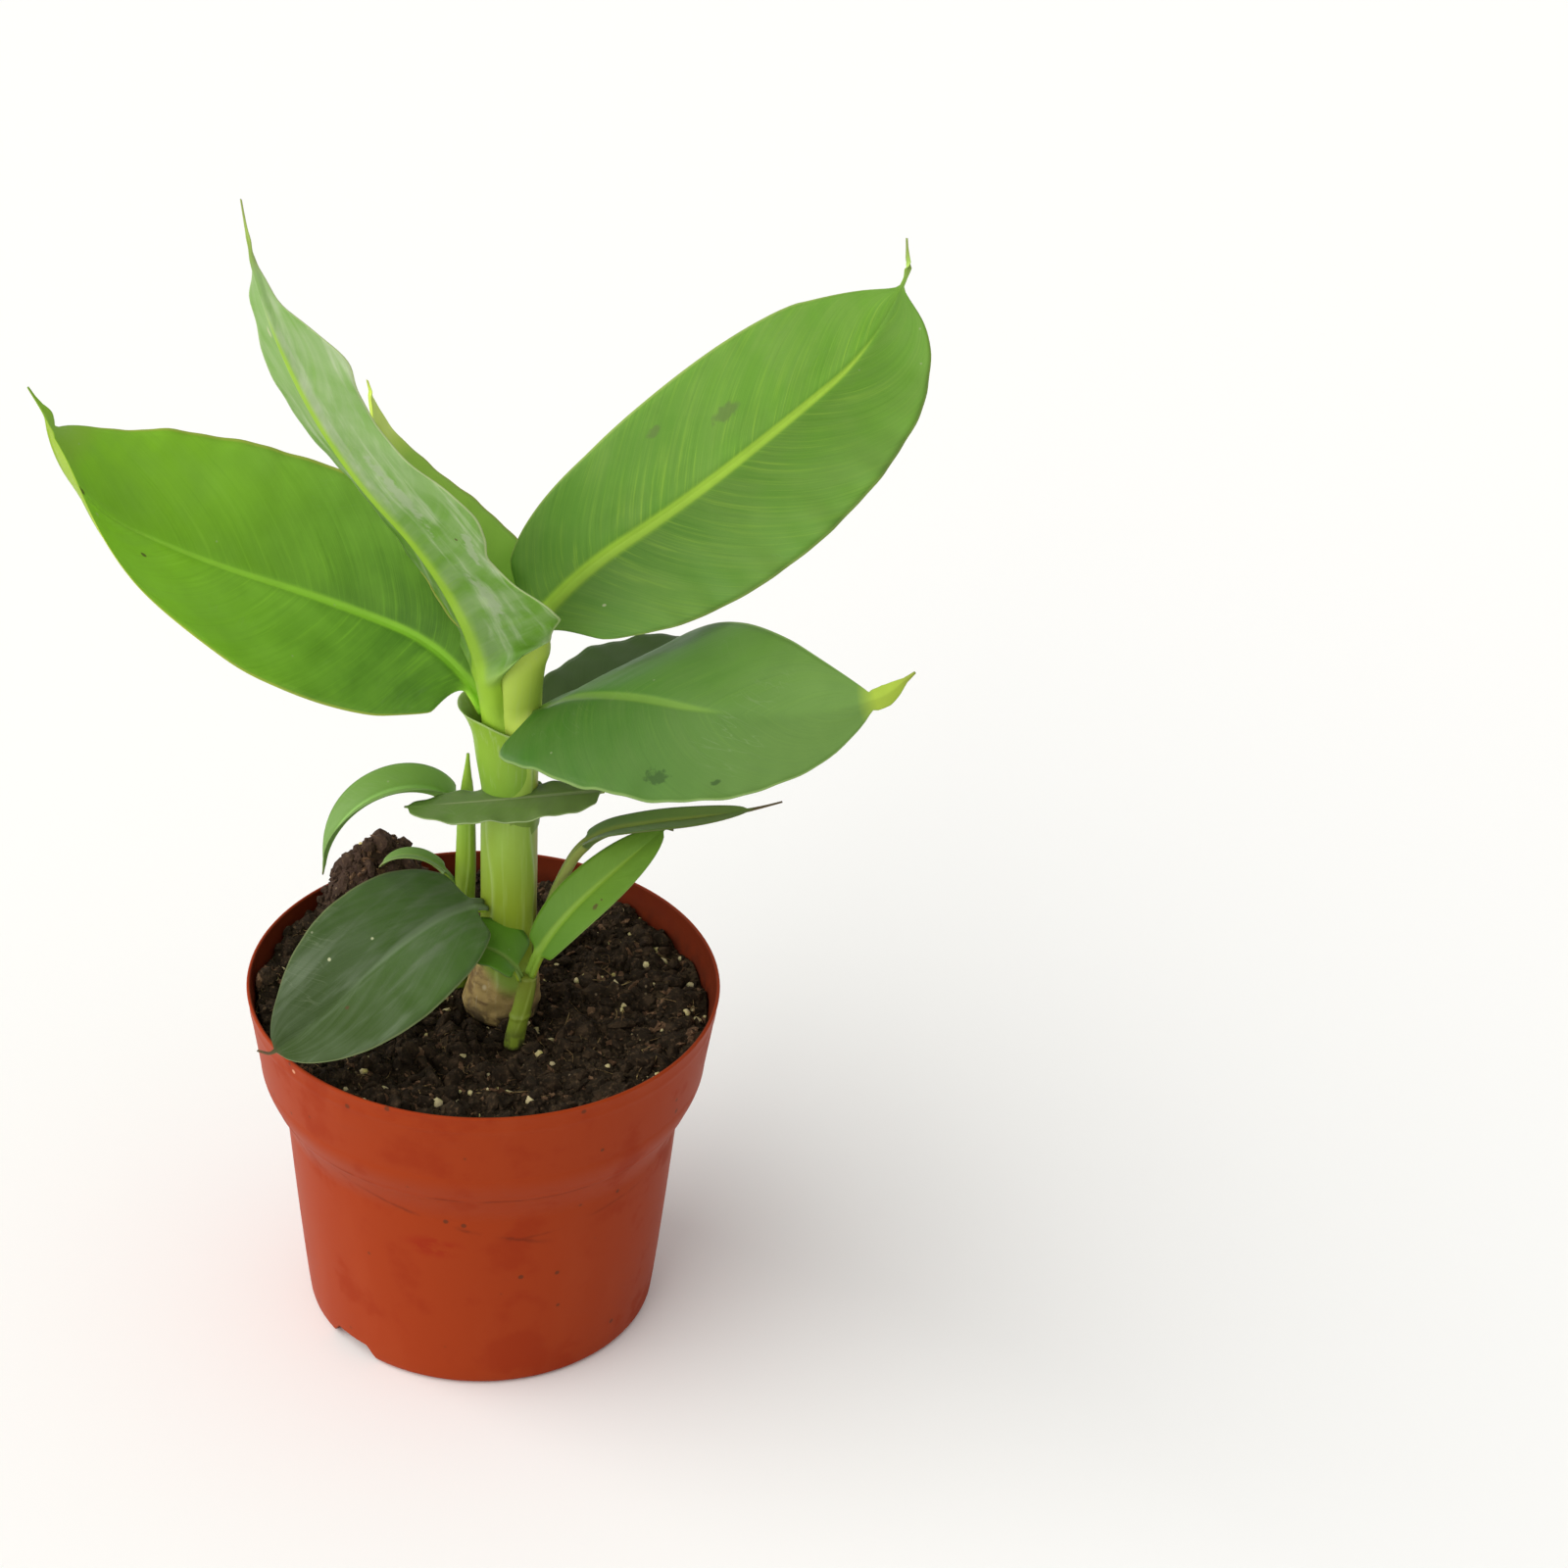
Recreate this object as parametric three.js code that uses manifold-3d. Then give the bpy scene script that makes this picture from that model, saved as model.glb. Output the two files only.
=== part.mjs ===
import * as THREE from 'three';
import Module from 'manifold-3d';
import { mergeVertices } from 'three/addons/utils/BufferGeometryUtils.js';

// A young banana plant in a round plastic nursery pot.
// Millimetres, Z up. The pot stands on z = 0 with its axis on Z, and the plant's usual front is -Y.

// Driving dimensions
const gap = 0.3; // space left between neighbouring solids

const pot = {
  height: 96,
  rimRadius: 60,
  collarRadius: 57, // foot of the collar's wall
  collarFoot: 75, // height where the collar's wall starts to turn in
  neckRadius: 50.4, // narrowest place, under the collar
  neckHeight: 56,
  footRadius: 45,
  footRound: 2, // rounded corner at the foot
  wall: 1.2,
  floorHeight: 5.2, // underside of the raised floor
  footRingInner: 42,
  standRadius: 14, // flat disc under the middle, which the pot also stands on
  standSlope: 3.5, // run of the slope from that disc up to the raised floor
  segments: 40,
};

const drainHole = { count: 6, radius: 3.5, ringRadius: 28 };
const footNotch = { azimuths: [43, 223], width: 18, height: 4.6, slope: 4 };

const soil = {
  level: 86, // surface round the stems
  wallLevel: 90, // surface where it meets the pot, on average
  leftRise: 2.2, // higher on the left of the pot and lower on the right by this much
  lumps: 0.7,
  stemPadRadius: 12, // level ground round the foot of the main stem
  rings: [0.97, 0.9, 0.82, 0.72, 0.6, 0.45, 0.3, 0.15],
};
const soilHeaps = [
  { azimuth: 131, radius: 49, height: 17, spread: 8.5 },
  { azimuth: 118, radius: 49, height: 16, spread: 8.5 },
];

// Each stem is a column of round sections: centre x and y, height above the soil, radius. The
// lowest big leaf's sheath still wraps the top of the main stem. It widens upwards to the left,
// and slant is how much its rim falls for each millimetre to the right.
const mainStem = {
  segments: 18,
  sheath: {
    segments: 18,
    sections: [
      { x: 6, y: 2, z: 147, radius: 6.2 },
      { x: 5, y: 1.9, z: 159, radius: 7.5, slant: 0.14 },
      { x: 4.2, y: 1.8, z: 167, radius: 8, slant: 0.28 },
      { x: 2.8, y: 1.6, z: 173, radius: 9, slant: 0.38 },
    ],
  },
  sections: [
    { x: 4.4, y: 1.6, up: 0, radius: 9.4 },
    { x: 4.4, y: 1.7, up: 4, radius: 9.6 },
    { x: 4.9, y: 1.8, up: 9, radius: 8.6 },
    { x: 5.6, y: 2, up: 14, radius: 7.2 },
    { x: 6, y: 2, up: 28, radius: 6.9 },
    { x: 6, y: 2, up: 54, radius: 6.9 },
    { x: 6, y: 2.2, up: 72, radius: 6.8 },
    { x: 6.4, y: 1.7, up: 84, radius: 6.8 },
    { x: 6, y: 1, up: 96, radius: 7.5 },
    { x: 6.6, y: 1.1, up: 102, radius: 7.6 },
    { x: 8.2, y: 1.8, up: 105, radius: 7 },
    { x: 10, y: 2.8, up: 108, radius: 5 },
  ],
};
const backSucker = {
  segments: 12,
  sections: [
    { x: -6.8, y: 11.5, up: 0, radius: 3.4 },
    { x: -6, y: 10.6, up: 12, radius: 2.9 },
    { x: -5.2, y: 9.8, up: 32, radius: 2.6 },
    { x: -5, y: 9.4, up: 52, radius: 2.2 },
    { x: -4.8, y: 9, up: 62, radius: 1.4 },
    { x: -4.6, y: 8.8, up: 71, radius: 0.4 },
  ],
};
const frontSucker = {
  segments: 12,
  sections: [
    { x: 7.6, y: -15.6, up: 0, radius: 2.7 },
    { x: 8.6, y: -15.2, up: 7, radius: 2.4 },
    { x: 10, y: -14.6, up: 14, radius: 2.3 },
    { x: 11, y: -14.1, up: 20, radius: 2.2 },
  ],
};

// Leaves. The azimuth is 0 towards +X and 90 towards +Y, at the stem and at the tip. The rise is
// the rib's slope above the level, at even steps from the stem to the tip. The roll turns the
// blade about its rib, at its base and at its tip. Each half lifts from the flat by the fold, and
// by the curl on top of it towards its edge. The lobe is how far the rounded base reaches back
// past the stalk. Blunt under 1 fills out a half's base, and over 1 narrows it. Taper is the share
// of the blade over which it grows out of the stalk. Sharp draws the tip out, over that share. The
// tail's half widths are at even steps to its end. Left and right are seen from the stem, looking
// outwards.
const leaves = {
  leaf_top_left: {
    root: [-0.5, 2, 173.7], azimuth: [186, 198], rise: [69, 28, 24, 34, 82], stalk: 7, stalkRadius: 2,
    blade: 131, left: 32.5, right: 31, roll: [-64, -12], fold: 16, curl: 9, lobe: [1, 1],
    widest: 0.48, fullness: 1.12, blunt: [1.15, 1], sharp: 0.02, rings: 18,
    tail: { length: 11, azimuth: 180, rise: 62, half: [3.4, 2.4, 1.1, 0.5, 0.3] },
  },
  leaf_tall: {
    root: [3.8, -3, 166.7], azimuth: [228, 211], rise: [84, 63, 51, 63, 76], stalk: 20, stalkRadius: 3.2,
    blade: 144, left: 29, right: 21, roll: [-6, 15], fold: 11, curl: -6, lobe: [0, -1],
    widest: 0.365, fullness: 1.12, blunt: [1, 0.5], taper: 0.04, sharp: 0.05, rings: 20,
    ripple: { depth: [0.14, -0.03], count: 2.88, start: 0.76 },
    tail: { length: 15, azimuth: 190, rise: 82, half: [0.6, 0.5, 1.1, 0.6, 0.4, 0.3] },
  },
  leaf_rear: {
    root: [7.9, 6, 183.7], azimuth: [153, 149], rise: [67, 48, 45, 58, 85], stalk: 12, stalkRadius: 2.2,
    blade: 65, left: 13, right: 18.3, roll: [-23, 30], fold: 9, curl: -4, lobe: [2, 2],
    widest: 0.3, fullness: 1.2, rings: 12,
    tail: { length: 4, azimuth: 180, rise: 75, half: [1.5, 0.8, 0.4] },
  },
  leaf_top_right: {
    root: [8.6, 3.2, 193.4], azimuth: [12, 57], rise: [58, 26, 24, 16, 42], stalk: 3.2, stalkRadius: 3,
    blade: 133, left: 29.5, right: 30.5, roll: [67, 33], fold: 23, curl: 12, lobe: [3, 1],
    widest: 0.43, fullness: 1.12, blunt: [1, 1.16], sharp: 0.03, rings: 18,
    tail: { length: 13, azimuth: 200, rise: 84, half: [0.6, 0.6, 1.2, 0.7, 0.4, 0.3] },
  },
  leaf_right: {
    root: [9.4, 1, 169.7], azimuth: [309, 339], rise: [59, 25, 8, 15, 32], stalk: 9, stalkRadius: 2.4,
    blade: 100, left: 31.5, right: 25, roll: [6, 58], fold: -7, curl: -12, lobe: [1, 12],
    widest: 0.32, fullness: 1.23, blunt: [1, 1.15], rings: 16,
    tail: { length: 12, azimuth: 0, rise: 45, half: [2.6, 2.6, 1.8, 0.7, 0.3] },
  },
  leaf_rear_right: {
    root: [9.6, 8, 156.3], azimuth: [41, 25], rise: [51, 20, 0, -11, -12], stalk: 8, stalkRadius: 2.2,
    blade: 68, left: 18.5, right: 19, roll: [-12, 0], fold: 2, curl: -5, lobe: [4, 4],
    widest: 0.43, fullness: 1.1, rings: 12,
    tail: { length: 4, azimuth: 20, rise: -20, half: [0.5, 0.3] },
  },
  leaf_narrow: {
    root: [12.4, -0.5, 102], azimuth: [349, 355], rise: [85, 74, 65, 17, 11, 16], stalk: 38.5, stalkRadius: 2,
    blade: 43, left: 4.2, right: 7.2, roll: [-2, 6], fold: 18, curl: -2, lobe: [1, 1],
    widest: 0.4, fullness: 1, rings: 10,
    tail: { length: 9, azimuth: 355, rise: 20, half: [0.5, 0.3] },
  },
  leaf_arched: {
    root: [-5.2, 9, 137], azimuth: [203, 193], rise: [78, 32, -10, -49, -84], stalk: 5, stalkRadius: 1.7,
    blade: 48, left: 7.3, right: 7.3, roll: [-5, 9], fold: 25, curl: 5, lobe: [1, 1],
    widest: 0.36, fullness: 0.95, sharp: 0.12, rings: 12,
    tail: { length: 3, azimuth: 193, rise: -85, half: [0.5, 0.3] },
  },
  leaf_drooping: {
    root: [-0.3, -2.5, 119.9], azimuth: [230, 206], rise: [31, -4, -25, -32, -23], stalk: 4, stalkRadius: 2,
    blade: 66, left: 18.8, right: 19.6, roll: [-28, -15], fold: 3, curl: -3, lobe: [3, 3],
    widest: 0.49, fullness: 1.2, rings: 12,
    tail: { length: 5, azimuth: 150, rise: -5, half: [0.5, 0.3] },
  },
  leaf_small_arched: {
    root: [-7.4, 9.8, 117.5], azimuth: [180, 179], rise: [66, 48, 24, -8, -47], stalk: 5, stalkRadius: 1.2,
    blade: 18, left: 3.6, right: 3, roll: [4, 6], fold: 15, curl: 0, lobe: [0, 0],
    widest: 0.42, fullness: 0.95, rings: 8,
    tail: { length: 1.5, azimuth: 180, rise: -50, half: [0.5, 0.3] },
  },
  leaf_bright: {
    root: [11.2, -14, 106.6], azimuth: [12, 25], rise: [75, 54, 41, 35, 35], stalk: 6, stalkRadius: 1.7,
    blade: 45, left: 7.2, right: 7.7, roll: [21, 21], fold: 9, curl: -1, lobe: [1, 1],
    widest: 0.44, fullness: 1.05, rings: 12,
    tail: { length: 3, azimuth: 0, rise: -20, half: [0.5, 0.3] },
  },
  leaf_small_left: {
    root: [9.3, -14.6, 105.5], azimuth: [166, 179], rise: [74, 44, 17, -1, -14], stalk: 3.5, stalkRadius: 1.2,
    blade: 21, left: 7.6, right: 10, roll: [-10, -7], fold: 9, curl: -1, lobe: [1, 1],
    widest: 0.42, fullness: 1, blunt: [1, 0.5], rings: 8,
    tail: { length: 1.5, azimuth: 180, rise: -12, half: [0.5, 0.3] },
  },
};

// The folded leaf lies across the front of the main stem and clasps it with a short sheath
const foldedLeaf = {
  blade: {
    root: [29, 0.8, 152], azimuth: [204, 167], rise: [8, 2, -3, -8, -12], stalk: 0.5, stalkRadius: 0.8,
    blade: 49, left: 7.4, right: 6.4, roll: [-10, -6], fold: -7, curl: -3, lobe: [0, 0],
    widest: 0.5, fullness: 0.9, rings: 14,
    tail: { length: 1, azimuth: 167, rise: -12, half: [0.5, 0.3] },
  },
  sheath: {
    segments: 10,
    sections: [
      { x: 8.2, y: -6, z: 137, radius: 1.2 },
      { x: 8.4, y: -6.6, z: 142, radius: 2.2 },
      { x: 8.8, y: -7, z: 147, radius: 3 },
      { x: 9, y: -6.8, z: 151.6, radius: 3.8 },
    ],
  },
};

// Shares of the half width at which a blade's section has points, and the thinnest blade
const bladeColumns = [-1, -0.68, -0.34, 0, 0.34, 0.68, 1];
const bladeThinness = 95; // a blade is its length over this number thick
const thinnestBlade = 0.6;
const stalkRings = 5;
const tailRings = 4;
const beakStart = 0.95; // share of the blade from which it narrows into its tail
const evenEdge = { depth: [0, 0], count: 0, start: 0 }; // a blade with no ripple in its outline
const evenBase = [1, 1];
const usualTaper = 0.07;
const edgeShare = 0.6; // a blade's edge is this share of its middle's thickness

const colours = {
  potPlastic: new THREE.MeshStandardMaterial({ color: '#a8452a', roughness: 0.6, metalness: 0 }),
  peat: new THREE.MeshStandardMaterial({ color: '#2a1f18', roughness: 0.95, metalness: 0 }),
  stem: new THREE.MeshStandardMaterial({ color: '#9db53e', roughness: 0.5, metalness: 0 }),
  brightLeaf: new THREE.MeshStandardMaterial({ color: '#5f9c2c', roughness: 0.5, metalness: 0 }),
  darkLeaf: new THREE.MeshStandardMaterial({ color: '#3f6b33', roughness: 0.45, metalness: 0 }),
};
const darkLeaves = ['leaf_drooping', 'leaf_narrow', 'leaf_small_left', 'leaf_rear_right', 'leaf_right'];

const wasm = await Module();
wasm.setup();
const mergeDistance = 1e-3;
const { degToRad, lerp, smoothstep, clamp } = THREE.MathUtils;

// Solids to and from three.js geometry
function solidOf(geometry) {
  const bare = geometry.clone();
  bare.deleteAttribute('normal');
  bare.deleteAttribute('uv');
  const merged = mergeVertices(bare, mergeDistance);
  return new wasm.Manifold(new wasm.Mesh({
    numProp: 3,
    vertProperties: new Float32Array(merged.attributes.position.array),
    triVerts: new Uint32Array(merged.index.array),
  }));
}

function geometryOf(solid) {
  const mesh = solid.getMesh();
  const geometry = new THREE.BufferGeometry();
  geometry.setAttribute('position', new THREE.BufferAttribute(new Float32Array(mesh.vertProperties), 3));
  geometry.setIndex(new THREE.BufferAttribute(new Uint32Array(mesh.triVerts), 1));
  geometry.computeVertexNormals();
  return geometry;
}

function largestPiece(solid) {
  return solid.decompose().reduce((best, piece) => (piece.volume() > best.volume() ? piece : best));
}

// A closed body through rings of equal count, each given anticlockwise as seen from ahead
function loftSolid(rings) {
  const count = rings[0].length;
  const points = rings.flat();
  const middle = (ring) => ring.reduce((sum, point) => sum.add(point), new THREE.Vector3()).divideScalar(count);
  const first = points.push(middle(rings[0])) - 1;
  const last = points.push(middle(rings.at(-1))) - 1;
  const index = [];
  for (let side = 0; side < count; side += 1) {
    const next = (side + 1) % count;
    for (let ring = 0; ring < rings.length - 1; ring += 1) {
      const low = ring * count;
      const high = low + count;
      index.push(low + side, low + next, high + next, low + side, high + next, high + side);
    }
    const end = (rings.length - 1) * count;
    index.push(first, next, side, last, end + side, end + next);
  }
  const geometry = new THREE.BufferGeometry().setFromPoints(points);
  geometry.setIndex(index);
  return solidOf(geometry);
}

function circle(centre, radius, segments) {
  return Array.from({ length: segments }, (_, step) => {
    const angle = (step / segments) * 2 * Math.PI;
    return new THREE.Vector3(centre.x + radius * Math.cos(angle), centre.y + radius * Math.sin(angle), centre.z);
  });
}

// A stem of round sections; grow widens it, to cut clear space for a neighbour
function stemSolid(stem, grow = 0) {
  const rings = stem.sections.map((section) => {
    const z = section.z ?? soil.level + gap + section.up;
    const ring = circle({ x: section.x, y: section.y, z }, section.radius + grow, stem.segments);
    for (const point of ring) point.z -= (section.slant ?? 0) * (point.x - section.x);
    return ring;
  });
  if (grow > 0) {
    for (const point of rings[0]) point.z -= grow;
    for (const point of rings.at(-1)) point.z += grow;
  }
  return loftSolid(rings);
}

function direction(azimuth, rise) {
  return new THREE.Vector3(
    Math.cos(degToRad(azimuth)) * Math.cos(degToRad(rise)),
    Math.sin(degToRad(azimuth)) * Math.cos(degToRad(rise)),
    Math.sin(degToRad(rise)),
  );
}

// A value between those listed at even steps
function stepValue(values, share) {
  const place = share * (values.length - 1);
  const low = Math.min(Math.floor(place), values.length - 2);
  return lerp(values[low], values[low + 1], place - low);
}

// The rib of a leaf from the stem to the end of its tail, as evenly spaced points
function ribOf(leaf) {
  const length = leaf.stalk + leaf.blade;
  const steps = 60;
  const tailSteps = 12;
  const points = [new THREE.Vector3(...leaf.root)];
  const riseAt = (share) => stepValue(leaf.rise, share);
  const walk = (heading, step) => points.push(points.at(-1).clone().addScaledVector(heading, step));
  for (let step = 0; step < steps; step += 1) {
    const share = (step + 0.5) / steps;
    walk(direction(lerp(...leaf.azimuth, share), riseAt(share)), length / steps);
  }
  const tipHeading = direction(leaf.azimuth[1], riseAt(1));
  const tailHeading = direction(leaf.tail.azimuth, leaf.tail.rise);
  for (let step = 0; step < tailSteps; step += 1) {
    const heading = tipHeading.clone().lerp(tailHeading, smoothstep(step, 0, tailSteps / 2)).normalize();
    walk(heading, leaf.tail.length / tailSteps);
  }
  return (distance) => {
    const total = length + leaf.tail.length;
    const spot = clamp(distance, 0, total);
    const place = spot < length
      ? (spot / length) * steps
      : steps + ((spot - length) / leaf.tail.length) * tailSteps;
    const low = Math.min(Math.floor(place), points.length - 2);
    const point = points[low].clone().lerp(points[low + 1], place - low);
    const ahead = points[Math.min(low + 2, points.length - 1)].clone().sub(points[Math.max(low - 1, 0)]);
    return { point, ahead: ahead.normalize() };
  };
}

// Share of the full half width at a share of the blade's length: round base, drawn-out tip
function outline(leaf, share, side) {
  const base = leaf.widest * leaf.fullness * (leaf.blunt ?? evenBase)[side];
  const tip = (1 - leaf.widest) * leaf.fullness;
  const point = leaf.sharp ? 1 - Math.exp((share - 1) / leaf.sharp) : 1;
  return point * (share / leaf.widest) ** base * ((1 - share) / (1 - leaf.widest)) ** tip;
}

// One section of a leaf, as a ring of points: over the top from left to right, back underneath
function leafSection(leaf, rib, distance, grow) {
  const { point, ahead } = rib(distance);
  const ripple = leaf.ripple ?? evenEdge;
  const share = clamp((distance - leaf.stalk) / leaf.blade, 0, 1);
  const onBlade = smoothstep(distance - leaf.stalk, 0, leaf.blade * (leaf.taper ?? usualTaper));
  const onTail = Math.max(0, (distance - leaf.stalk - leaf.blade) / leaf.tail.length);
  const level = new THREE.Vector3(-ahead.y, ahead.x, 0).normalize();
  const across = level.applyAxisAngle(ahead, degToRad(lerp(...leaf.roll, share)));
  const up = ahead.clone().cross(across);
  const thick = Math.max(leaf.blade / bladeThinness, thinnestBlade);
  const ribRadius = lerp(leaf.stalkRadius * lerp(1, 0.25, share), 0.35, onTail);
  const wave = Math.sin(2 * Math.PI * (ripple.count * share + ripple.start));
  const beak = stepValue(leaf.tail.half, Math.min(onTail, 1)) * smoothstep(share, beakStart, 1);
  const column = (u, top) => {
    const side = u < 0 ? 0 : 1;
    const spread = outline(leaf, clamp(share, 1e-4, 1 - 1e-4), side) * onBlade;
    const half = [leaf.left, leaf.right][side] * (1 + ripple.depth[side] * wave);
    const lobe = leaf.lobe[side];
    const width = Math.max(ribRadius + (half - ribRadius) * spread, beak) + grow;
    const lift = degToRad(leaf.fold + (leaf.curl * Math.abs(u)) / 2) * onBlade;
    const back = lobe * u * u * (1 - share) ** 5 * Math.min(1, spread / 0.5);
    const round = Math.sqrt(Math.max(1 - u * u, 0)) * ribRadius;
    const flat = (thick / 2) * lerp(1, edgeShare, Math.abs(u));
    const rise = top ? 0.6 * round : round;
    const rib2 = top ? 0 : ribRadius * Math.max(0, 1 - Math.abs(u) / 0.3);
    const height = Math.max(lerp(rise, flat + rib2, onBlade * (1 - onTail)), 0.3) + grow;
    return point.clone()
      .addScaledVector(across, -Math.sign(u) * width * Math.abs(u) * Math.cos(lift))
      .addScaledVector(up, width * Math.abs(u) * Math.sin(lift) + (top ? height : -height))
      .addScaledVector(ahead, -back);
  };
  const over = bladeColumns.map((u) => column(u, true));
  const under = bladeColumns.map((u) => column(u, false)).reverse();
  return [...over, ...under];
}

function leafSolid(leaf, grow = 0) {
  const rib = ribOf(leaf);
  const distances = [];
  for (let ring = 0; ring < stalkRings; ring += 1) distances.push((leaf.stalk * ring) / stalkRings);
  for (let ring = 0; ring < leaf.rings; ring += 1) {
    const share = ring / leaf.rings;
    distances.push(leaf.stalk + leaf.blade * share ** 1.25);
  }
  for (let ring = 0; ring <= tailRings; ring += 1) {
    distances.push(leaf.stalk + leaf.blade + (leaf.tail.length * ring) / tailRings);
  }
  return loftSolid(distances.map((distance) => leafSection(leaf, rib, distance, grow)));
}

// Radius of the pot's outer wall at a height
function potRadius(z) {
  if (z < pot.neckHeight) {
    const corner = Math.max(0, pot.footRound - z);
    const rounding = pot.footRound - Math.sqrt(pot.footRound ** 2 - corner ** 2);
    return lerp(pot.footRadius, pot.neckRadius, (z / pot.neckHeight) ** 0.85) - rounding;
  }
  const onCollar = smoothstep(z, pot.neckHeight, pot.collarFoot);
  if (z < pot.collarFoot) return lerp(pot.neckRadius, pot.collarRadius, onCollar);
  return lerp(pot.collarRadius, pot.rimRadius, (z - pot.collarFoot) / (pot.height - pot.collarFoot));
}

function turned(profile, segments) {
  const geometry = new THREE.LatheGeometry(profile.map(([r, z]) => new THREE.Vector2(r, z)), segments);
  return solidOf(geometry.rotateX(Math.PI / 2));
}

const wallHeights = [12, 30, 48, 56, 60.5, 65.5, 70.5, 75, 86];

function potShell() {
  const floorTop = pot.floorHeight + pot.wall;
  const slopeTop = pot.standRadius + pot.standSlope;
  const outside = [0, 0.6, 1.3, 2, ...wallHeights, pot.height].map((z) => [potRadius(z), z]);
  const inside = [...wallHeights, pot.height].reverse().map((z) => [potRadius(z) - pot.wall, z]);
  const profile = [
    [0, 0],
    [pot.standRadius, 0],
    [slopeTop, pot.floorHeight],
    [pot.footRingInner - 1, pot.floorHeight],
    [pot.footRingInner, 0],
    ...outside,
    ...inside,
    [potRadius(floorTop) - pot.wall, floorTop],
    [slopeTop - pot.wall, floorTop],
    [pot.standRadius - pot.wall, pot.wall],
    [0, pot.wall],
  ];
  let shell = turned(profile, pot.segments);
  for (let hole = 0; hole < drainHole.count; hole += 1) {
    const angle = (hole / drainHole.count) * 2 * Math.PI;
    const drill = new THREE.CylinderGeometry(drainHole.radius, drainHole.radius, 4 * pot.wall, 16);
    drill.rotateX(Math.PI / 2);
    drill.translate(
      drainHole.ringRadius * Math.cos(angle),
      drainHole.ringRadius * Math.sin(angle),
      pot.floorHeight + pot.wall / 2,
    );
    shell = shell.subtract(solidOf(drill));
  }
  for (const azimuth of footNotch.azimuths) shell = shell.subtract(notchCutter(azimuth));
  return shell;
}

// A slot with sloping ends through the foot ring, which lets water run out from under the floor
function notchCutter(azimuth) {
  const half = footNotch.width / 2;
  const shape = new THREE.Shape([
    new THREE.Vector2(-half, -1),
    new THREE.Vector2(half, -1),
    new THREE.Vector2(half - 0.5, 0.8),
    new THREE.Vector2(half - footNotch.slope, footNotch.height),
    new THREE.Vector2(footNotch.slope - half, footNotch.height),
    new THREE.Vector2(0.5 - half, 0.8),
  ]);
  const cutter = new THREE.ExtrudeGeometry(shape, { depth: 14, bevelEnabled: false });
  cutter.rotateX(Math.PI / 2);
  cutter.rotateZ(Math.PI / 2);
  cutter.translate(pot.footRingInner - 4, 0, 0);
  cutter.rotateZ(degToRad(azimuth));
  return solidOf(cutter);
}

// Height of the soil's surface over a point
function soilHeight(x, y) {
  const wallRadius = potRadius(soil.wallLevel) - pot.wall;
  const outwards = Math.hypot(x, y) / wallRadius;
  const fromStem = Math.hypot(x - mainStem.sections[0].x, y - mainStem.sections[0].y);
  const open = smoothstep(fromStem, soil.stemPadRadius, soil.stemPadRadius + 10);
  const slope = (soil.wallLevel - soil.level) * outwards ** 2 - soil.leftRise * (x / wallRadius);
  const lumps = soil.lumps * (Math.sin(x * 0.42 + y * 0.13) + Math.sin(y * 0.37 - x * 0.21));
  const raised = soilHeaps.reduce((sum, heap) => {
    const heapX = heap.radius * Math.cos(degToRad(heap.azimuth));
    const heapY = heap.radius * Math.sin(degToRad(heap.azimuth));
    return sum + heap.height * Math.exp(-((Math.hypot(x - heapX, y - heapY) / heap.spread) ** 2));
  }, 0);
  return soil.level + (slope + lumps + raised) * open;
}

function rootBall() {
  const floorTop = pot.floorHeight + pot.wall + gap;
  const slopeTop = pot.standRadius + pot.standSlope - pot.wall - gap;
  const bottom = [
    [pot.standRadius - pot.wall - gap, pot.wall + gap],
    [slopeTop, floorTop],
    [potRadius(floorTop) - pot.wall - gap, floorTop],
    ...wallHeights.filter((z) => z < soil.level - 4).map((z) => [potRadius(z) - pot.wall - gap, z]),
  ];
  const rings = bottom.map(([radius, z]) => circle({ x: 0, y: 0, z }, radius, pot.segments));
  const rimInner = potRadius(soil.level) - pot.wall - gap;
  for (const share of [1, ...soil.rings]) {
    rings.push(circle({ x: 0, y: 0, z: 0 }, rimInner * share, pot.segments));
    for (const point of rings.at(-1)) point.z = soilHeight(point.x, point.y);
  }
  return loftSolid(rings);
}

// The soil is dug out a little round the suckers, so that each stands on a flat
function diggingFor(stem) {
  const [foot] = stem.sections;
  const clear = foot.radius + 1.5;
  return loftSolid([
    circle({ x: foot.x, y: foot.y, z: soil.level }, clear, stem.segments),
    circle({ x: foot.x, y: foot.y, z: soil.level + 12 }, clear + 4, stem.segments),
  ]);
}

// Assembly: each solid is cut clear of the ones placed before it
const placed = [];
const group = new THREE.Group();

function place(name, material, solid, grown) {
  const clear = placed.reduce((rest, neighbour) => rest.subtract(neighbour), solid);
  const mesh = new THREE.Mesh(geometryOf(largestPiece(clear)), material);
  mesh.name = name;
  group.add(mesh);
  if (grown) placed.push(grown);
}

function placeStem(name, stem) {
  const parts = stem.sheath ? [stem, stem.sheath] : [stem];
  const solid = (grow) => parts.map((part) => stemSolid(part, grow)).reduce((one, other) => one.add(other));
  place(name, colours.stem, solid(0), solid(gap));
}

const stems = { main_stem: mainStem, back_sucker_stem: backSucker, front_sucker_stem: frontSucker };

const soilSolid = Object.values(stems).reduce((rest, stem) => rest.subtract(diggingFor(stem)), rootBall());
const potSolid = potShell();
place('pot', colours.potPlastic, potSolid);
place('root_ball', colours.peat, soilSolid);
for (const [name, stem] of Object.entries(stems)) placeStem(name, stem);

const foldedSolid = (grow) => leafSolid(foldedLeaf.blade, grow).add(stemSolid(foldedLeaf.sheath, grow));
place('leaf_folded', colours.darkLeaf, foldedSolid(0), foldedSolid(gap));

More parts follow.
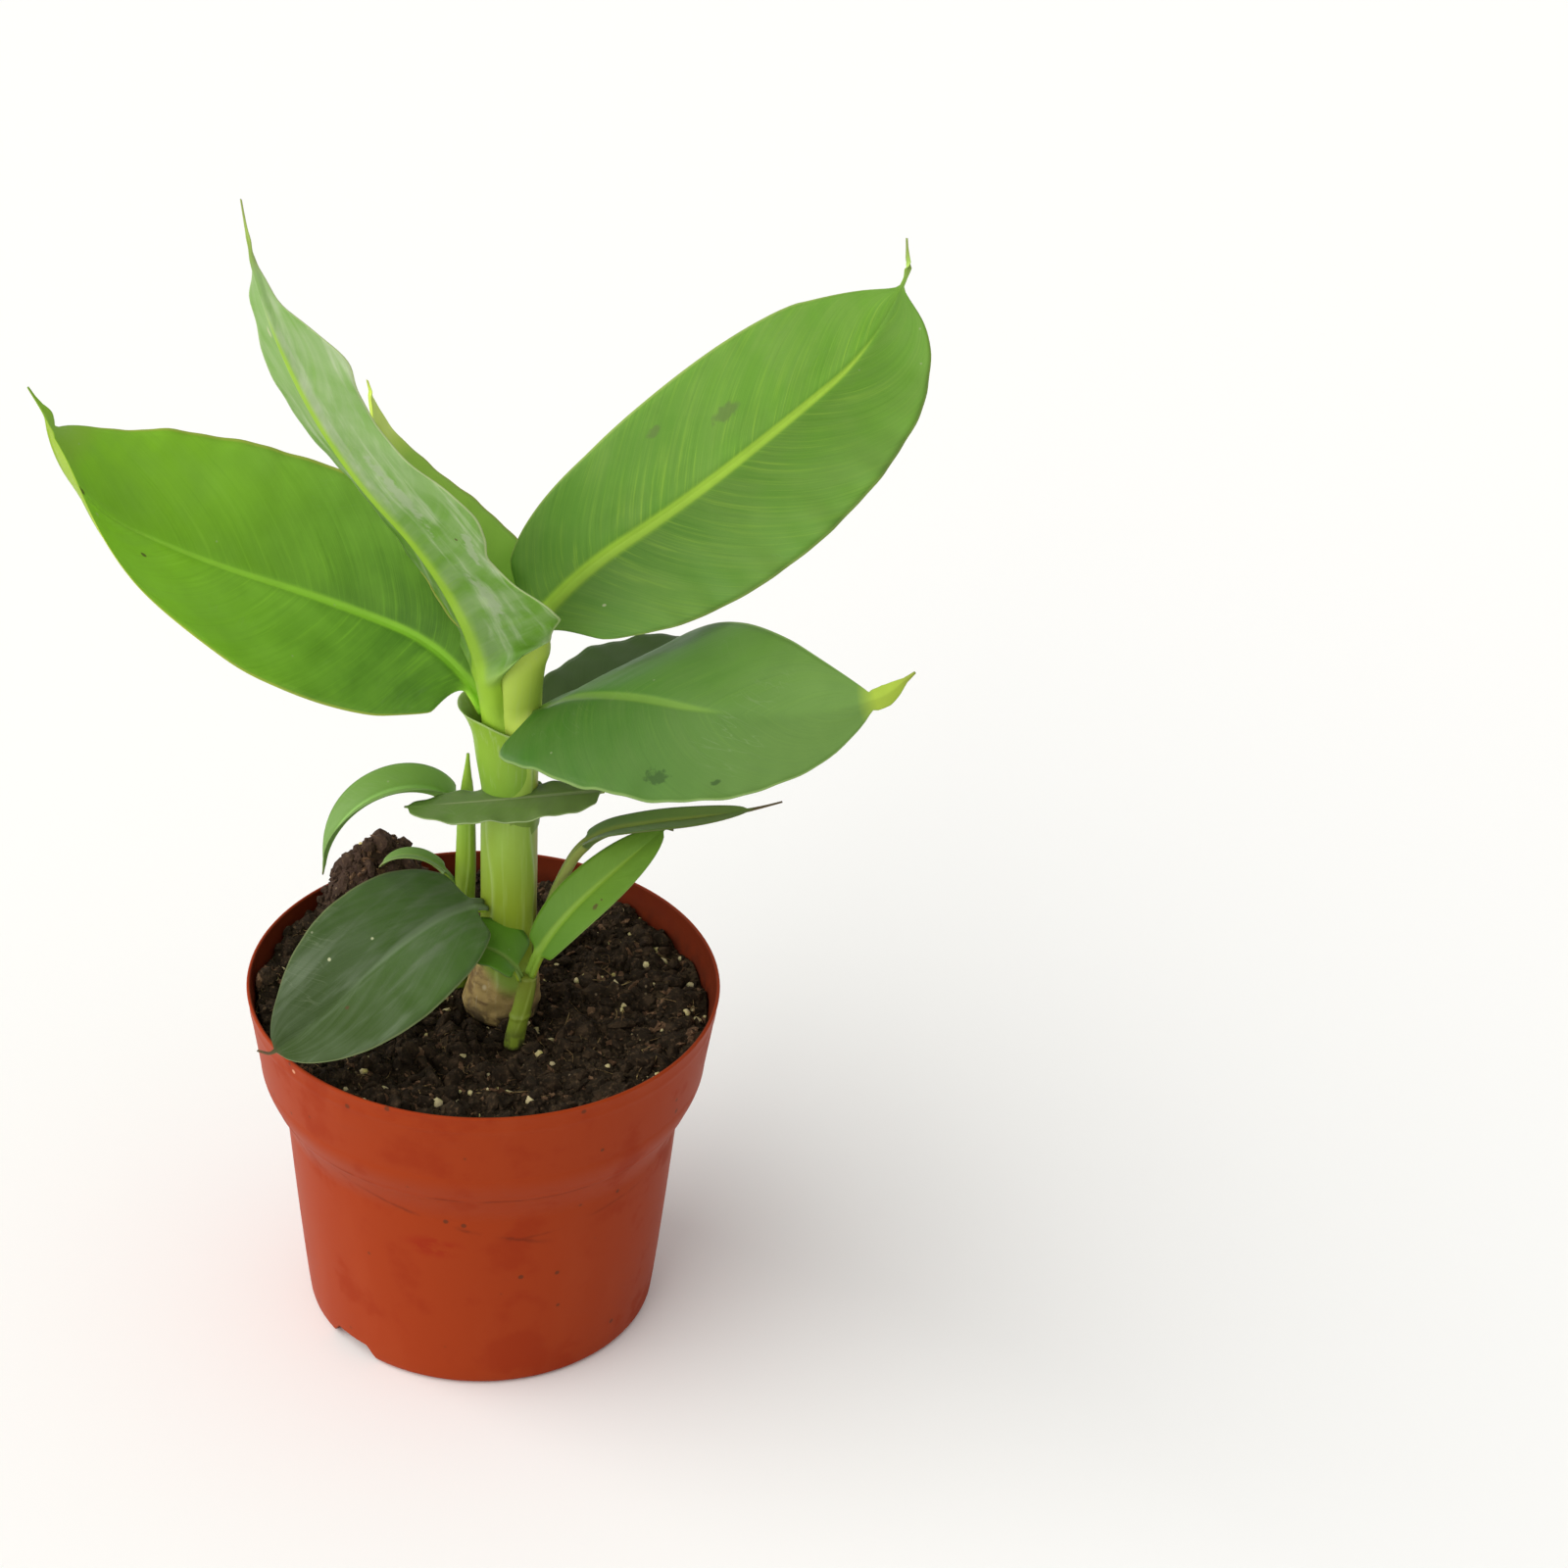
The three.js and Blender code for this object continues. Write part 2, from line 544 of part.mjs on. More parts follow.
for (const [name, leaf] of Object.entries(leaves)) {
  const material = darkLeaves.includes(name) ? colours.darkLeaf : colours.brightLeaf;
  place(name, material, leafSolid(leaf), leafSolid(leaf, gap));
}

export default group;
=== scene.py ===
import random
from math import copysign, cos, exp, hypot, pi, radians, sin, sqrt

import bmesh
import bpy
from mathutils import Euler, Matrix, Vector, noise


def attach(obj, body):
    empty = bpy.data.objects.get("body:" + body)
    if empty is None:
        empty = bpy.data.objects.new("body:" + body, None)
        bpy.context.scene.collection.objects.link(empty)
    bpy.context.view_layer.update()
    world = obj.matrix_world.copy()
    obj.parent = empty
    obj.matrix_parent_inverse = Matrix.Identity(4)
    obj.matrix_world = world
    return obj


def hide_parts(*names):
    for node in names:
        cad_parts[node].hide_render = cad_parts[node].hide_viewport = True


# A young banana plant in a round plastic nursery pot.
# Sizes are in millimetres and turns in degrees. The meshes are written in metres.
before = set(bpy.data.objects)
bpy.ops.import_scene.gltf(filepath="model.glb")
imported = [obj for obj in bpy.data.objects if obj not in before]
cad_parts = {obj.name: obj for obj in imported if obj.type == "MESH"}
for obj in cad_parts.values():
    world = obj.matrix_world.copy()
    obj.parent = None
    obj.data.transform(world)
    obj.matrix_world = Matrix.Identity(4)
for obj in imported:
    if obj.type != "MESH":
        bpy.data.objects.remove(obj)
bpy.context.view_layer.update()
mm = 0.001
print("frame loaded")

camera = {"place": (0, -815.1, 659.3), "turn": (58.307, -2.779, -3.442), "lens": 89.07, "sensor": 36}
studio = {
    "room": {"colour": (1, 0.995, 0.98), "strength": 0.58, "seen": 1.0},
    "sun": {"from": (-0.87, -0.32, 0.375), "strength": 3.6, "spread": 100, "colour": (1, 0.985, 0.95)},
    "floor": {"half": 6000, "colour": (0.95, 0.95, 0.945), "roughness": 0.9},
}


def linkedObject(name, data):
    thing = bpy.data.objects.new(name, data)
    bpy.context.scene.collection.objects.link(thing)
    return thing


# A field is a node's output. It is added to and multiplied as a number is.
class Field:
    def __init__(self, node, output=0):
        self.tree, self.socket = node.id_data, node.outputs[output]

    def maths(self, operation, *others):
        values = dict(enumerate((self, *others)))
        return newField(self.tree, "ShaderNodeMath", values, operation=operation)

    def __add__(self, other):
        return self.maths("ADD", other)

    def __sub__(self, other):
        return self.maths("SUBTRACT", other)

    def __rsub__(self, other):
        return self.maths("MULTIPLY_ADD", -1, other)

    def __mul__(self, other):
        return self.maths("MULTIPLY", other)

    def __truediv__(self, other):
        return self.maths("DIVIDE", other)

    def __abs__(self):
        return self.maths("ABSOLUTE")

    def ramp(self, low, high, toLow=0, toHigh=1, kind="SMOOTHSTEP"):
        values = {"Value": self, "From Min": low, "From Max": high, "To Min": toLow, "To Max": toHigh}
        return newField(self.tree, "ShaderNodeMapRange", values, interpolation_type=kind)

    def grain(self, scale, detail=3, roughness=0.5):
        values = {"Vector": self, "Scale": scale, "Detail": detail, "Roughness": roughness}
        return newField(self.tree, "ShaderNodeTexNoise", values)

    def mapped(self, scale, shift=(0, 0, 0), turn=(0, 0, 0)):
        values = {"Vector": self, "Scale": scale, "Location": shift, "Rotation": turn}
        return newField(self.tree, "ShaderNodeMapping", values)


def fill(node, values):
    for key, value in values.items():
        socket = node.inputs[key]
        if isinstance(value, Field):
            node.id_data.links.new(value.socket, socket)
        else:
            socket.default_value = (*value, 1) if socket.type == "RGBA" else value
    return node


def addNode(tree, kind, values=None, **settings):
    node = tree.nodes.new(kind)
    for name, value in settings.items():
        setattr(node, name, value)
    return fill(node, values or {})


def newField(tree, kind, values=None, output=0, **settings):
    return Field(addNode(tree, kind, values, **settings), output)


def attribute(tree, name, output="Fac"):
    return newField(tree, "ShaderNodeAttribute", attribute_name=name, output=output)


def placeIn(tree):
    return newField(tree, "ShaderNodeTexCoord", output="Object")


def parts(vector):
    node = addNode(vector.tree, "ShaderNodeSeparateXYZ", {0: vector})
    return [Field(node, axis) for axis in range(3)]


def joined(x, y, z):
    return newField(x.tree, "ShaderNodeCombineXYZ", {0: x, 1: y, 2: z})


def spanOf(x, y):
    return (x * x + y * y).maths("SQRT")


def blend(factor, first, second, mode="MIX"):
    values = {0: factor, 6: first, 7: second}
    return newField(factor.tree, "ShaderNodeMix", values, data_type="RGBA", blend_type=mode, output=2)


def painted(colour, *layers):
    for mask, tone in layers:
        colour = blend(mask, colour, tone)
    return colour


def newSocket(tree, label, way, kind):
    return tree.interface.new_socket(name=label, in_out=way, socket_type="NodeSocket" + kind)


# A node group from a rule, which gets the inputs by name and returns the outputs by name
def newGroup(name, rule, **inputs):
    group = bpy.data.node_groups.new(name, "ShaderNodeTree")
    labels = [(label, kind) for kind, names in inputs.items() for label in names.split()]
    for label, kind in labels:
        newSocket(group, label, "INPUT", kind.capitalize())
    given = addNode(group, "NodeGroupInput")
    results = rule(**{label: Field(given, label) for label, kind in labels})
    for label, field in results.items():
        newSocket(group, label, "OUTPUT", "Color" if field.socket.type == "RGBA" else "Float")
    addNode(group, "NodeGroupOutput", results)

    def use(tree, *values):
        node = addNode(tree, "ShaderNodeGroup", dict(enumerate(values)), node_tree=group)
        fields = [Field(node, label) for label in results]
        return fields if len(fields) > 1 else fields[0]

    return use


def newMaterial(name):
    material = bpy.data.materials.new(name)
    material.use_nodes = True
    return material, material.node_tree


def fitShader(material, colour, roughness, height, relief, strength, gloss):
    tree = material.node_tree
    bump = addNode(tree, "ShaderNodeBump", {"Height": height, "Distance": relief, "Strength": strength})
    fill(tree.nodes["Principled BSDF"], {
        "Base Color": colour, "Roughness": roughness, "Normal": Field(bump), "Specular IOR Level": gloss,
    })
    return material


# Effects that the pot, the soil, the stems and the leaves share
def patchRule(place, scale, low, high):
    return {"mask": place.grain(scale, 4, 0.55).ramp(low, high)}


def dotRule(place, scale, size, share):
    cells = addNode(place.tree, "ShaderNodeTexVoronoi", {"Vector": place, "Scale": scale})
    tone = newField(place.tree, "ShaderNodeSeparateColor", {0: Field(cells, "Color")})
    near = Field(cells, "Distance").ramp(size * 0.6, size, 1, 0, "LINEAR")
    return {"mask": near * tone.maths("LESS_THAN", share)}


def scratchRule(place, scale, amount):
    masks = []
    for turn, shift in ((0.5, 0), (-0.9, 0.3)):
        streak = place.mapped((1, 1, 14), (shift, shift, 0), (turn, turn * 0.6, turn)).grain(scale, 2, 0.4)
        thin = abs(streak - 0.5).ramp(0, 0.012, 1, 0)
        masks.append(thin * place.grain(scale * 0.8).ramp(0.56, 0.68))
    return {"mask": masks[0].maths("MAXIMUM", masks[1]) * amount}


softPatches = newGroup("softPatches", patchRule, vector="place", float="scale low high")
smallDots = newGroup("smallDots", dotRule, vector="place", float="scale size share")
fineScratches = newGroup("fineScratches", scratchRule, vector="place", float="scale amount")


def clamp(value, low=0.0, high=1.0):
    return max(low, min(high, value))


def lerp(first, second, share):
    return first + (second - first) * share


def stepValue(values, share):
    place = share * (len(values) - 1)
    low = min(int(place), len(values) - 2)
    return lerp(values[low], values[low + 1], place - low)


def smooth(value, low, high):
    share = clamp((value - low) / (high - low))
    return share * share * (3 - 2 * share)


def hump(value):
    return exp(-(value ** 2))


def ripples(x, y, z=0.0, size=1.0):
    return noise.noise(Vector((x, y, z)) / size)


def declare(piece, slot, node=None):
    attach(piece, "root")
    if node:
        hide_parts(node)
    return piece


def pieceFrom(name, vertices, faces, slot, material, node=None, **attributes):
    mesh = bpy.data.meshes.new(name)
    mesh.from_pydata([Vector(point) * mm for point in vertices], [], faces)
    mesh.materials.append(material)
    for label, values in attributes.items():
        if isinstance(values[0], tuple):
            flat = [number for value in values for number in value]
            mesh.attributes.new(label, "FLOAT_VECTOR", "POINT").data.foreach_set("vector", flat)
        else:
            mesh.attributes.new(label, "FLOAT", "POINT").data.foreach_set("value", values)
    mesh.polygons.foreach_set("use_smooth", [True] * len(mesh.polygons))
    return declare(linkedObject(name, mesh), slot, node)


def loftFaces(rows, columns):
    faces = []
    for row in range(rows - 1):
        for column in range(columns):
            after = (column + 1) % columns
            low = row * columns
            high = low + columns
            faces.append((low + column, low + after, high + after, high + column))
    return faces + [tuple(reversed(range(columns))), tuple(range((rows - 1) * columns, rows * columns))]


# A thin wall: a grid of outer points and one of inner points, which may be closed round
def wallFaces(rows, columns, closed):
    width = columns if closed else columns + 1
    size, top = (rows + 1) * width, rows * width
    faces = []
    for step in range(columns):
        after = (step + 1) % width
        for row in range(rows):
            a, b = row * width + step, row * width + after
            faces += [(a, b, b + width, a + width), (size + b, size + a, size + a + width, size + b + width)]
        faces.append((top + step, top + after, size + top + after, size + top + step))
        faces.append((after, step, size + step, size + after))
    for a in [] if closed else range(0, top, width):
        b = a + columns
        faces += [(a, a + width, a + width + size, a + size), (b + width, b, b + size, b + width + size)]
    return faces


def objectFrom(shape, name):
    mesh = bpy.data.meshes.new(name)
    shape.to_mesh(mesh)
    shape.free()
    return linkedObject(name, mesh)


def closedObject(shape, name):
    bmesh.ops.recalc_face_normals(shape, faces=shape.faces)
    return objectFrom(shape, name)


def plainMesh(thing, name):
    graph = bpy.context.evaluated_depsgraph_get()
    mesh = bpy.data.meshes.new_from_object(thing.evaluated_get(graph))
    mesh.name = name
    return mesh


# The pot. A ring is a height, how far it stands proud, and its width. A worn line, where pots were
# nested, is a height, a slant, a width, where it starts and ends round the pot, and how strong and
# how ragged it is.
pot = dict(
    height=96, rimRadius=60, collarRadius=57, collarFoot=75, neckRadius=50.4, neckHeight=56,
    footRadius=45, footRound=2, footRingInner=42, standRadius=14, standSlope=3.5,
    wall=1.2, lip=1.0, floorHeight=5.2, segments=160, sharpEdge=38,
    rings=[(66.5, 0.16, 0.8), (91.5, 0.1, 0.9)],
    holes=dict(count=6, radius=3.5, ring=28, segments=32),
    notches=dict(azimuths=(43, 223), width=18, height=4.6, slope=4, round=0.8),
    plastic=(0.3, 0.037, 0.007), deep=(0.245, 0.021, 0.005), pale=(0.36, 0.062, 0.018),
    dirt=(0.09, 0.028, 0.012), rubbed=(0.27, 0.02, 0.005), scratched=(0.26, 0.04, 0.015),
    worn=(0.13, 0.02, 0.008), paleDots=(0.75, 0.4, 0.24), dust=(0.045, 0.018, 0.01),
    shade=(0.11, 0.02, 0.01),
    wornLines=[(66.2, 1, 0.55, -2.55, -0.6, 0.55, 1.1), (56.5, 14, 1, -2.5, -1.15, 0.6, 2.4),
               (52.5, -6, 0.8, -1.5, -0.6, 0.4, 2)],
)


def potRadius(z):
    if z < pot["neckHeight"]:
        corner = max(0.0, pot["footRound"] - z)
        rounding = pot["footRound"] - sqrt(pot["footRound"] ** 2 - corner ** 2)
        return lerp(pot["footRadius"], pot["neckRadius"], (z / pot["neckHeight"]) ** 0.85) - rounding
    if z < pot["collarFoot"]:
        return lerp(pot["neckRadius"], pot["collarRadius"], smooth(z, pot["neckHeight"], pot["collarFoot"]))
    share = (z - pot["collarFoot"]) / (pot["height"] - pot["collarFoot"])
    return lerp(pot["collarRadius"], pot["rimRadius"], share)


def potOutside(z):
    return potRadius(z) + sum(proud * hump((z - height) / width) for height, proud, width in pot["rings"])


def potProfile():
    wall, lip, top, floor = pot["wall"], pot["lip"], pot["height"], pot["floorHeight"]
    stand, ring, floorTop = pot["standRadius"], pot["footRingInner"], floor + wall
    slopeTop = stand + pot["standSlope"]
    heights = [0.0, 0.25, 0.6, 1.0, 1.5, 2.0, 5.0] + [8 + 2.2 * step for step in range(21)]
    heights += [56 + 0.5 * step for step in range(40)] + [76 + 1.5 * step for step in range(9)]
    heights += [89.5 + 0.4 * step for step in range(11)] + [94.6]
    rim = potRadius(top) - lip / 2
    bead = [(rim + lip / 2 * cos(angle), top - lip / 2 + lip / 2 * sin(angle))
            for angle in [radians(step) for step in range(-20, 201, 22)]]
    return [
        (0, 0), (6, 0), (stand - 0.4, 0), (stand + 0.1, 0.25), (slopeTop - 0.3, floor - 0.3),
        (slopeTop + 0.4, floor), (24, floor), (33, floor), (ring - 1.4, floor), (ring - 0.9, floor - 0.5),
        (ring - 0.1, 0.4), (ring + 0.2, 0), *[(potOutside(z), z) for z in heights], *bead,
        *[(potRadius(z) - wall, z) for z in reversed(range(8, 94, 3))],
        (potRadius(floorTop) - wall - 0.4, floorTop + 0.1), (33, floorTop), (24, floorTop),
        (slopeTop - wall, floorTop), (stand - wall, wall), (6, wall), (0, wall),
    ]


def turnedObject(name, profile, segments):
    shape = bmesh.new()
    angles = [2 * pi * step / segments for step in range(segments)]
    rows = []
    for radius, z in profile:
        row = angles if radius else [0]
        rows.append([shape.verts.new((radius * cos(a) * mm, radius * sin(a) * mm, z * mm)) for a in row])
    for low, high in zip(rows, rows[1:]):
        for step in range(segments):
            after = (step + 1) % segments
            places = (low, step), (low, after), (high, after), (high, step)
            shape.faces.new(list(dict.fromkeys(row[place % len(row)] for row, place in places)))
    return closedObject(shape, name)


def prism(name, outline, length, place):
    shape = bmesh.new()
    near, far = [[shape.verts.new(place @ (Vector((x, y, z)) * mm)) for x, z in outline] for y in (0, length)]
    shape.faces.new(near)
    shape.faces.new(list(reversed(far)))
    for corners in zip(near, far, far[1:] + far[:1], near[1:] + near[:1]):
        shape.faces.new(corners)
    return closedObject(shape, name)


def potCutters():
    notch, holes = pot["notches"], pot["holes"]
    half, bend = notch["width"] / 2, notch["round"]
    rounded = [(half - notch["slope"] + bend * sin(a), notch["height"] - bend + bend * cos(a))
               for a in [radians(step) for step in (0, 15, 30, 45)]]
    side = [(half + 0.2, -1), (half - 0.2, 0.3), (half - 0.9, 1.2), *reversed(rounded)]
    outline = [(-x, z) for x, z in side] + [(x, z) for x, z in reversed(side)]
    cutters = []
    for azimuth in notch["azimuths"]:
        turn = Matrix.Rotation(radians(azimuth - 90), 4, "Z")
        place = turn @ Matrix.Translation((0, (pot["footRingInner"] - 4) * mm, 0))
        cutters.append(prism("notchCutter", outline, 14, place))
    circle = [(holes["radius"] * cos(a), holes["radius"] * sin(a))
              for a in [2 * pi * step / holes["segments"] for step in range(holes["segments"])]]
    for hole in range(holes["count"]):
        angle = 2 * pi * hole / holes["count"]
        spot = Vector((cos(angle), sin(angle), 0)) * holes["ring"] * mm
        upright = Matrix.Translation(spot) @ Matrix.Rotation(pi / 2, 4, "X")
        cutters.append(prism("holeCutter", circle, 8, upright @ Matrix.Translation((0, 2 * mm, 0))))
    return cutters


def potMaterial():
    material, tree = newMaterial("terracottaPlastic")
    place = placeIn(tree)
    x, y, z = parts(place)
    azimuth, height = y.maths("ARCTAN2", x), z * 1000
    patches = softPatches(tree, place, 62, 0.5, 0.66)
    smears = softPatches(tree, place.mapped((1, 1, 0.35), (3, 1, 2)), 70, 0.5, 0.72)
    rough = place.mapped((1, 1, 2.2)).grain(160, 4, 0.6)
    worn = 0
    for at, slant, width, start, end, amount, drift in pot["wornLines"]:
        along = azimuth - (start + end) / 2
        near = abs(height - (along * -slant + at) + (rough - 0.5) * drift).ramp(0, width, amount, 0)
        reach = abs(along).ramp((end - start) * 0.32, (end - start) / 2, 1, 0)
        worn = (near * reach * place.grain(90).ramp(0.42, 0.6)).maths("MAXIMUM", worn)

    # Rubbed on the front, left of the middle, and dusty with soil on the inside under the rim
    rubbed = spanOf((azimuth + 1.82) * 5.5, (height - 47.5) * 0.24).ramp(0.35, 1.1, 1, 0)
    scratches = fineScratches(tree, place, 26, 0.3)
    paleDots = smallDots(tree, place.mapped((1, 1, 1), (0.4, 0.2, 0.1)), 150, 0.11, 0.05)
    # The inside of the wall under the rim is darkened with the shade tone as painted shade.
    depth = (height - pot["collarFoot"]) / 7 + pot["collarRadius"] - spanOf(x, y) * 1000
    inner = depth.ramp(0.45, 0.85) * height.ramp(78, 80)
    dusty = inner * height.ramp(86, 95, 1, 0) * place.grain(220, 4, 0.6).ramp(0.35, 0.62)
    colour = painted(
        pot["plastic"], (patches * 0.45, pot["deep"]), (smears * 0.16, pot["pale"]), (worn, pot["worn"]),
        (rubbed * rough.ramp(0.42, 0.58) * 0.8, pot["rubbed"]), (scratches, pot["scratched"]),
        (smallDots(tree, place, 210, 0.18, 0.14) * 0.75, pot["dirt"]), (paleDots * 0.6, pot["paleDots"]),
        (dusty * 0.85, pot["dust"]), (inner * 0.7, pot["shade"]),
    )
    relief = place.grain(900, 3, 0.6) * 0.25 + place.mapped((1, 1, 3)).grain(90, 2) * 0.5 - scratches * 0.6
    roughness = patches.ramp(0, 1, 0.44, 0.56) + worn * 0.2
    return fitShader(material, colour, roughness, relief, 0.00008, 0.35, 0.05)


def makePot():
    body = turnedObject("potBody", potProfile(), pot["segments"])
    cutters = potCutters()
    for cutter in cutters:
        cut = body.modifiers.new(cutter.name, "BOOLEAN")
        cut.operation = "DIFFERENCE"
        cut.solver = "EXACT"
        cut.object = cutter
    mesh = plainMesh(body, "potBody")
    body.modifiers.clear()
    body.data = mesh
    for cutter in cutters:
        bpy.data.objects.remove(cutter)
    mesh.materials.clear()
    mesh.materials.append(potMaterial())
    mesh.polygons.foreach_set("use_smooth", [True] * len(mesh.polygons))
    mesh.set_sharp_from_angle(angle=radians(pot["sharpEdge"]))
    declare(body, "pot_plastic", "pot")


# The soil. A heap is an azimuth, a radius, a height and a spread. Roughness is a pitch and a size.
# The stems' feet are a place and a radius, which crumbs keep clear of.
soil = dict(
    level=86, wallLevel=90, leftRise=2.2, lumps=0.7, gap=0.3, rings=90, segments=220,
    heaps=[(131, 49, 17, 8.5), (118, 49, 16, 8.5)],
    rough=[(9, 1.1), (4, 0.75), (1.6, 0.35)],
    feet=[(4.4, 1.6, 9.0), (-6.8, 11.5, 3.2), (7.6, -15.6, 2.6)], stemPadRadius=12,
    dark=(0.02, 0.0132, 0.0072), brown=(0.06, 0.039, 0.021), heapBrown=(0.06, 0.034, 0.024),
    grit=(0.3, 0.22, 0.14), heapPlace=(-28.3, 40.5), heapTinted=("peat", "peatLump", "peatCrumb"),
)


def heapHeight(x, y):
    raised = 0.0
    for azimuth, radius, height, spread in soil["heaps"]:
        heapX = radius * cos(radians(azimuth))
        heapY = radius * sin(radians(azimuth))
        raised += height * hump(hypot(x - heapX, y - heapY) / spread)
    return raised


def soilHeight(x, y):
    wallRadius = potRadius(soil["wallLevel"]) - pot["wall"]
    outwards = hypot(x, y) / wallRadius
    fromStem = hypot(x - soil["feet"][0][0], y - soil["feet"][0][1])
    openGround = smooth(fromStem, soil["stemPadRadius"], soil["stemPadRadius"] + 10)
    slope = (soil["wallLevel"] - soil["level"]) * outwards ** 2 - soil["leftRise"] * (x / wallRadius)
    lumps = soil["lumps"] * (sin(x * 0.42 + y * 0.13) + sin(y * 0.37 - x * 0.21))
    return soil["level"] + (slope + lumps + heapHeight(x, y)) * openGround


def roughSoil(x, y):
    bumps = sum(size * ripples(x, y, 3.0 * index, pitch) for index, (pitch, size) in enumerate(soil["rough"]))
    return soilHeight(x, y) + 1.5 * bumps


def soilMaterial(name, dark, brown, patchScale):
    material, tree = newMaterial(name)
    place = placeIn(tree)
    fine = place.grain(900, 5, 0.65)
    colour = blend(softPatches(tree, place, patchScale, 0.45, 0.75), dark, brown)
    if name in soil["heapTinted"]:
        x, y = [part - middle * mm for part, middle in zip(parts(place), soil["heapPlace"])]
        colour = blend(spanOf(x, y).ramp(0.011, 0.019, 0.8, 0), colour, soil["heapBrown"])
    colour = painted(
        colour, (fine.ramp(0.5, 0.72, 0, 0.5), [min(1, 2.6 * part) for part in brown]),
        (smallDots(tree, place, 700, 0.3, 0.03) * 0.5, soil["grit"]),
    )
    return fitShader(material, colour, fine.ramp(0.3, 0.7, 0.75, 0.98), fine, 0.0006, 0.9, 0.12)


def makeSoil():
    bottom = [(pot["standRadius"] - pot["wall"] - 0.3, 1.5), (15.9, 6.7), (potRadius(6.7) - 1.5, 6.7)]
    bottom += [(potRadius(z) - pot["wall"] - soil["gap"], z) for z in range(10, 86, 4)]
    edge = potRadius(soil["level"]) - pot["wall"] - soil["gap"]
    count = soil["segments"]
    angles = [2 * pi * step / count for step in range(count)]
    vertices = [(radius * cos(a), radius * sin(a), z) for radius, z in bottom for a in angles]
    bare = len(vertices)
    for ring in range(soil["rings"]):
        radius = edge * (1 - ring / soil["rings"])
        for angle in angles:
            x, y = radius * cos(angle), radius * sin(angle)
            vertices.append((x, y, roughSoil(x, y)))
    dress = soilMaterial("peat", soil["dark"], soil["brown"], 60)
    top = [0.0] * bare + [0.8 if heapHeight(x, y) > 2 else 1.0 for x, y, z in vertices[bare:]]
    faces = loftFaces(len(bottom) + soil["rings"], count)
    return pieceFrom("soil", vertices, faces, "peat", dress, "root_ball", openTop=top)


# Bits strewn over the soil: how many on a square millimetre, the smallest and largest size, the tilt
# in radians, how open the soil must be, how round they are, and their material, dark and pale
strewn = {
    "lumps": (0.12, 1.0, 3.2, 3.1, 0.5, 2, "peatLump", (0.02, 0.013, 0.0072), (0.062, 0.039, 0.022)),
    "crumbs": (0.5, 0.3, 1.2, 3.1, 0.5, 1, "peatCrumb", (0.025, 0.0165, 0.009), (0.08, 0.05, 0.029)),
    "barkBits": (0.07, 0.7, 2.2, 0.9, 0.5, 1, "barkBit", (0.085, 0.045, 0.024), (0.22, 0.13, 0.075)),
    "perlite": (0.024, 0.4, 1.6, 3.1, 0.5, 2, "perliteGrain", (0.62, 0.52, 0.3), (0.5, 0.42, 0.12)),
    "fibres": (0.034, 0.5, 1.5, 0.3, 0.9, 0, "peatFibre", (0.15, 0.09, 0.04), (0.36, 0.27, 0.12)),
}
fibre = dict(length=9.0, radius=0.13, steps=8, sides=(0.3, 2.4, 4.5))


def strewTree():
    tree = bpy.data.node_groups.new("strewOnSoil", "GeometryNodeTree")
    kinds = {"Ground": "Geometry", "Bit": "Object", "Seed": "Int", "Dress": "Material"}
    kinds.update(dict.fromkeys(("Density", "Smallest", "Largest", "Tilt", "Least Open"), "Float"))
    sockets = {label: newSocket(tree, label, "INPUT", kind) for label, kind in kinds.items()}
    newSocket(tree, "Strewn", "OUTPUT", "Geometry")
    source = addNode(tree, "NodeGroupInput")
    given = {label: Field(source, label) for label in kinds}
    seed = given["Seed"]
    openTop = newField(tree, "GeometryNodeInputNamedAttribute", {"Name": "openTop"}, data_type="FLOAT")
    least = {0: openTop, 1: given["Least Open"]}
    onTop = newField(tree, "FunctionNodeCompare", least, data_type="FLOAT", operation="GREATER_THAN")
    points = addNode(tree, "GeometryNodeDistributePointsOnFaces", {
        "Mesh": given["Ground"], "Selection": onTop, "Density": given["Density"], "Seed": seed,
    })
    draw = newField(tree, "FunctionNodeRandomValue", {2: 0, 3: 1, "Seed": seed}, data_type="FLOAT", output=1)
    spread = given["Largest"] - given["Smallest"]
    size = draw.maths("POWER", 2.2).maths("MULTIPLY_ADD", spread, given["Smallest"])
    low, high = [joined(given["Tilt"] * way, given["Tilt"] * way, pi * way) for way in (-1, 1)]
    reach = {0: low, 1: high, "Seed": seed}
    turns = newField(tree, "FunctionNodeRandomValue", reach, data_type="FLOAT_VECTOR")
    turn = newField(tree, "FunctionNodeEulerToRotation", {0: turns})
    upright = {0: Field(points, "Rotation"), 1: turn}
    facing = newField(tree, "FunctionNodeRotateRotation", upright, rotation_space="LOCAL")
    bit = newField(tree, "GeometryNodeObjectInfo", {"Object": given["Bit"]}, output="Geometry")
    placed = addNode(tree, "GeometryNodeInstanceOnPoints", {
        "Points": Field(points, "Points"), "Instance": bit, "Rotation": facing, "Scale": size,
    })
    real = newField(tree, "GeometryNodeRealizeInstances", {0: Field(placed)})
    dressed = addNode(tree, "GeometryNodeSetMaterial", {"Geometry": real, "Material": given["Dress"]})
    smoothed = addNode(tree, "GeometryNodeSetShadeSmooth", {0: Field(dressed)})
    addNode(tree, "NodeGroupOutput", {0: Field(smoothed)})
    return tree, {label: socket.identifier for label, socket in sockets.items()}


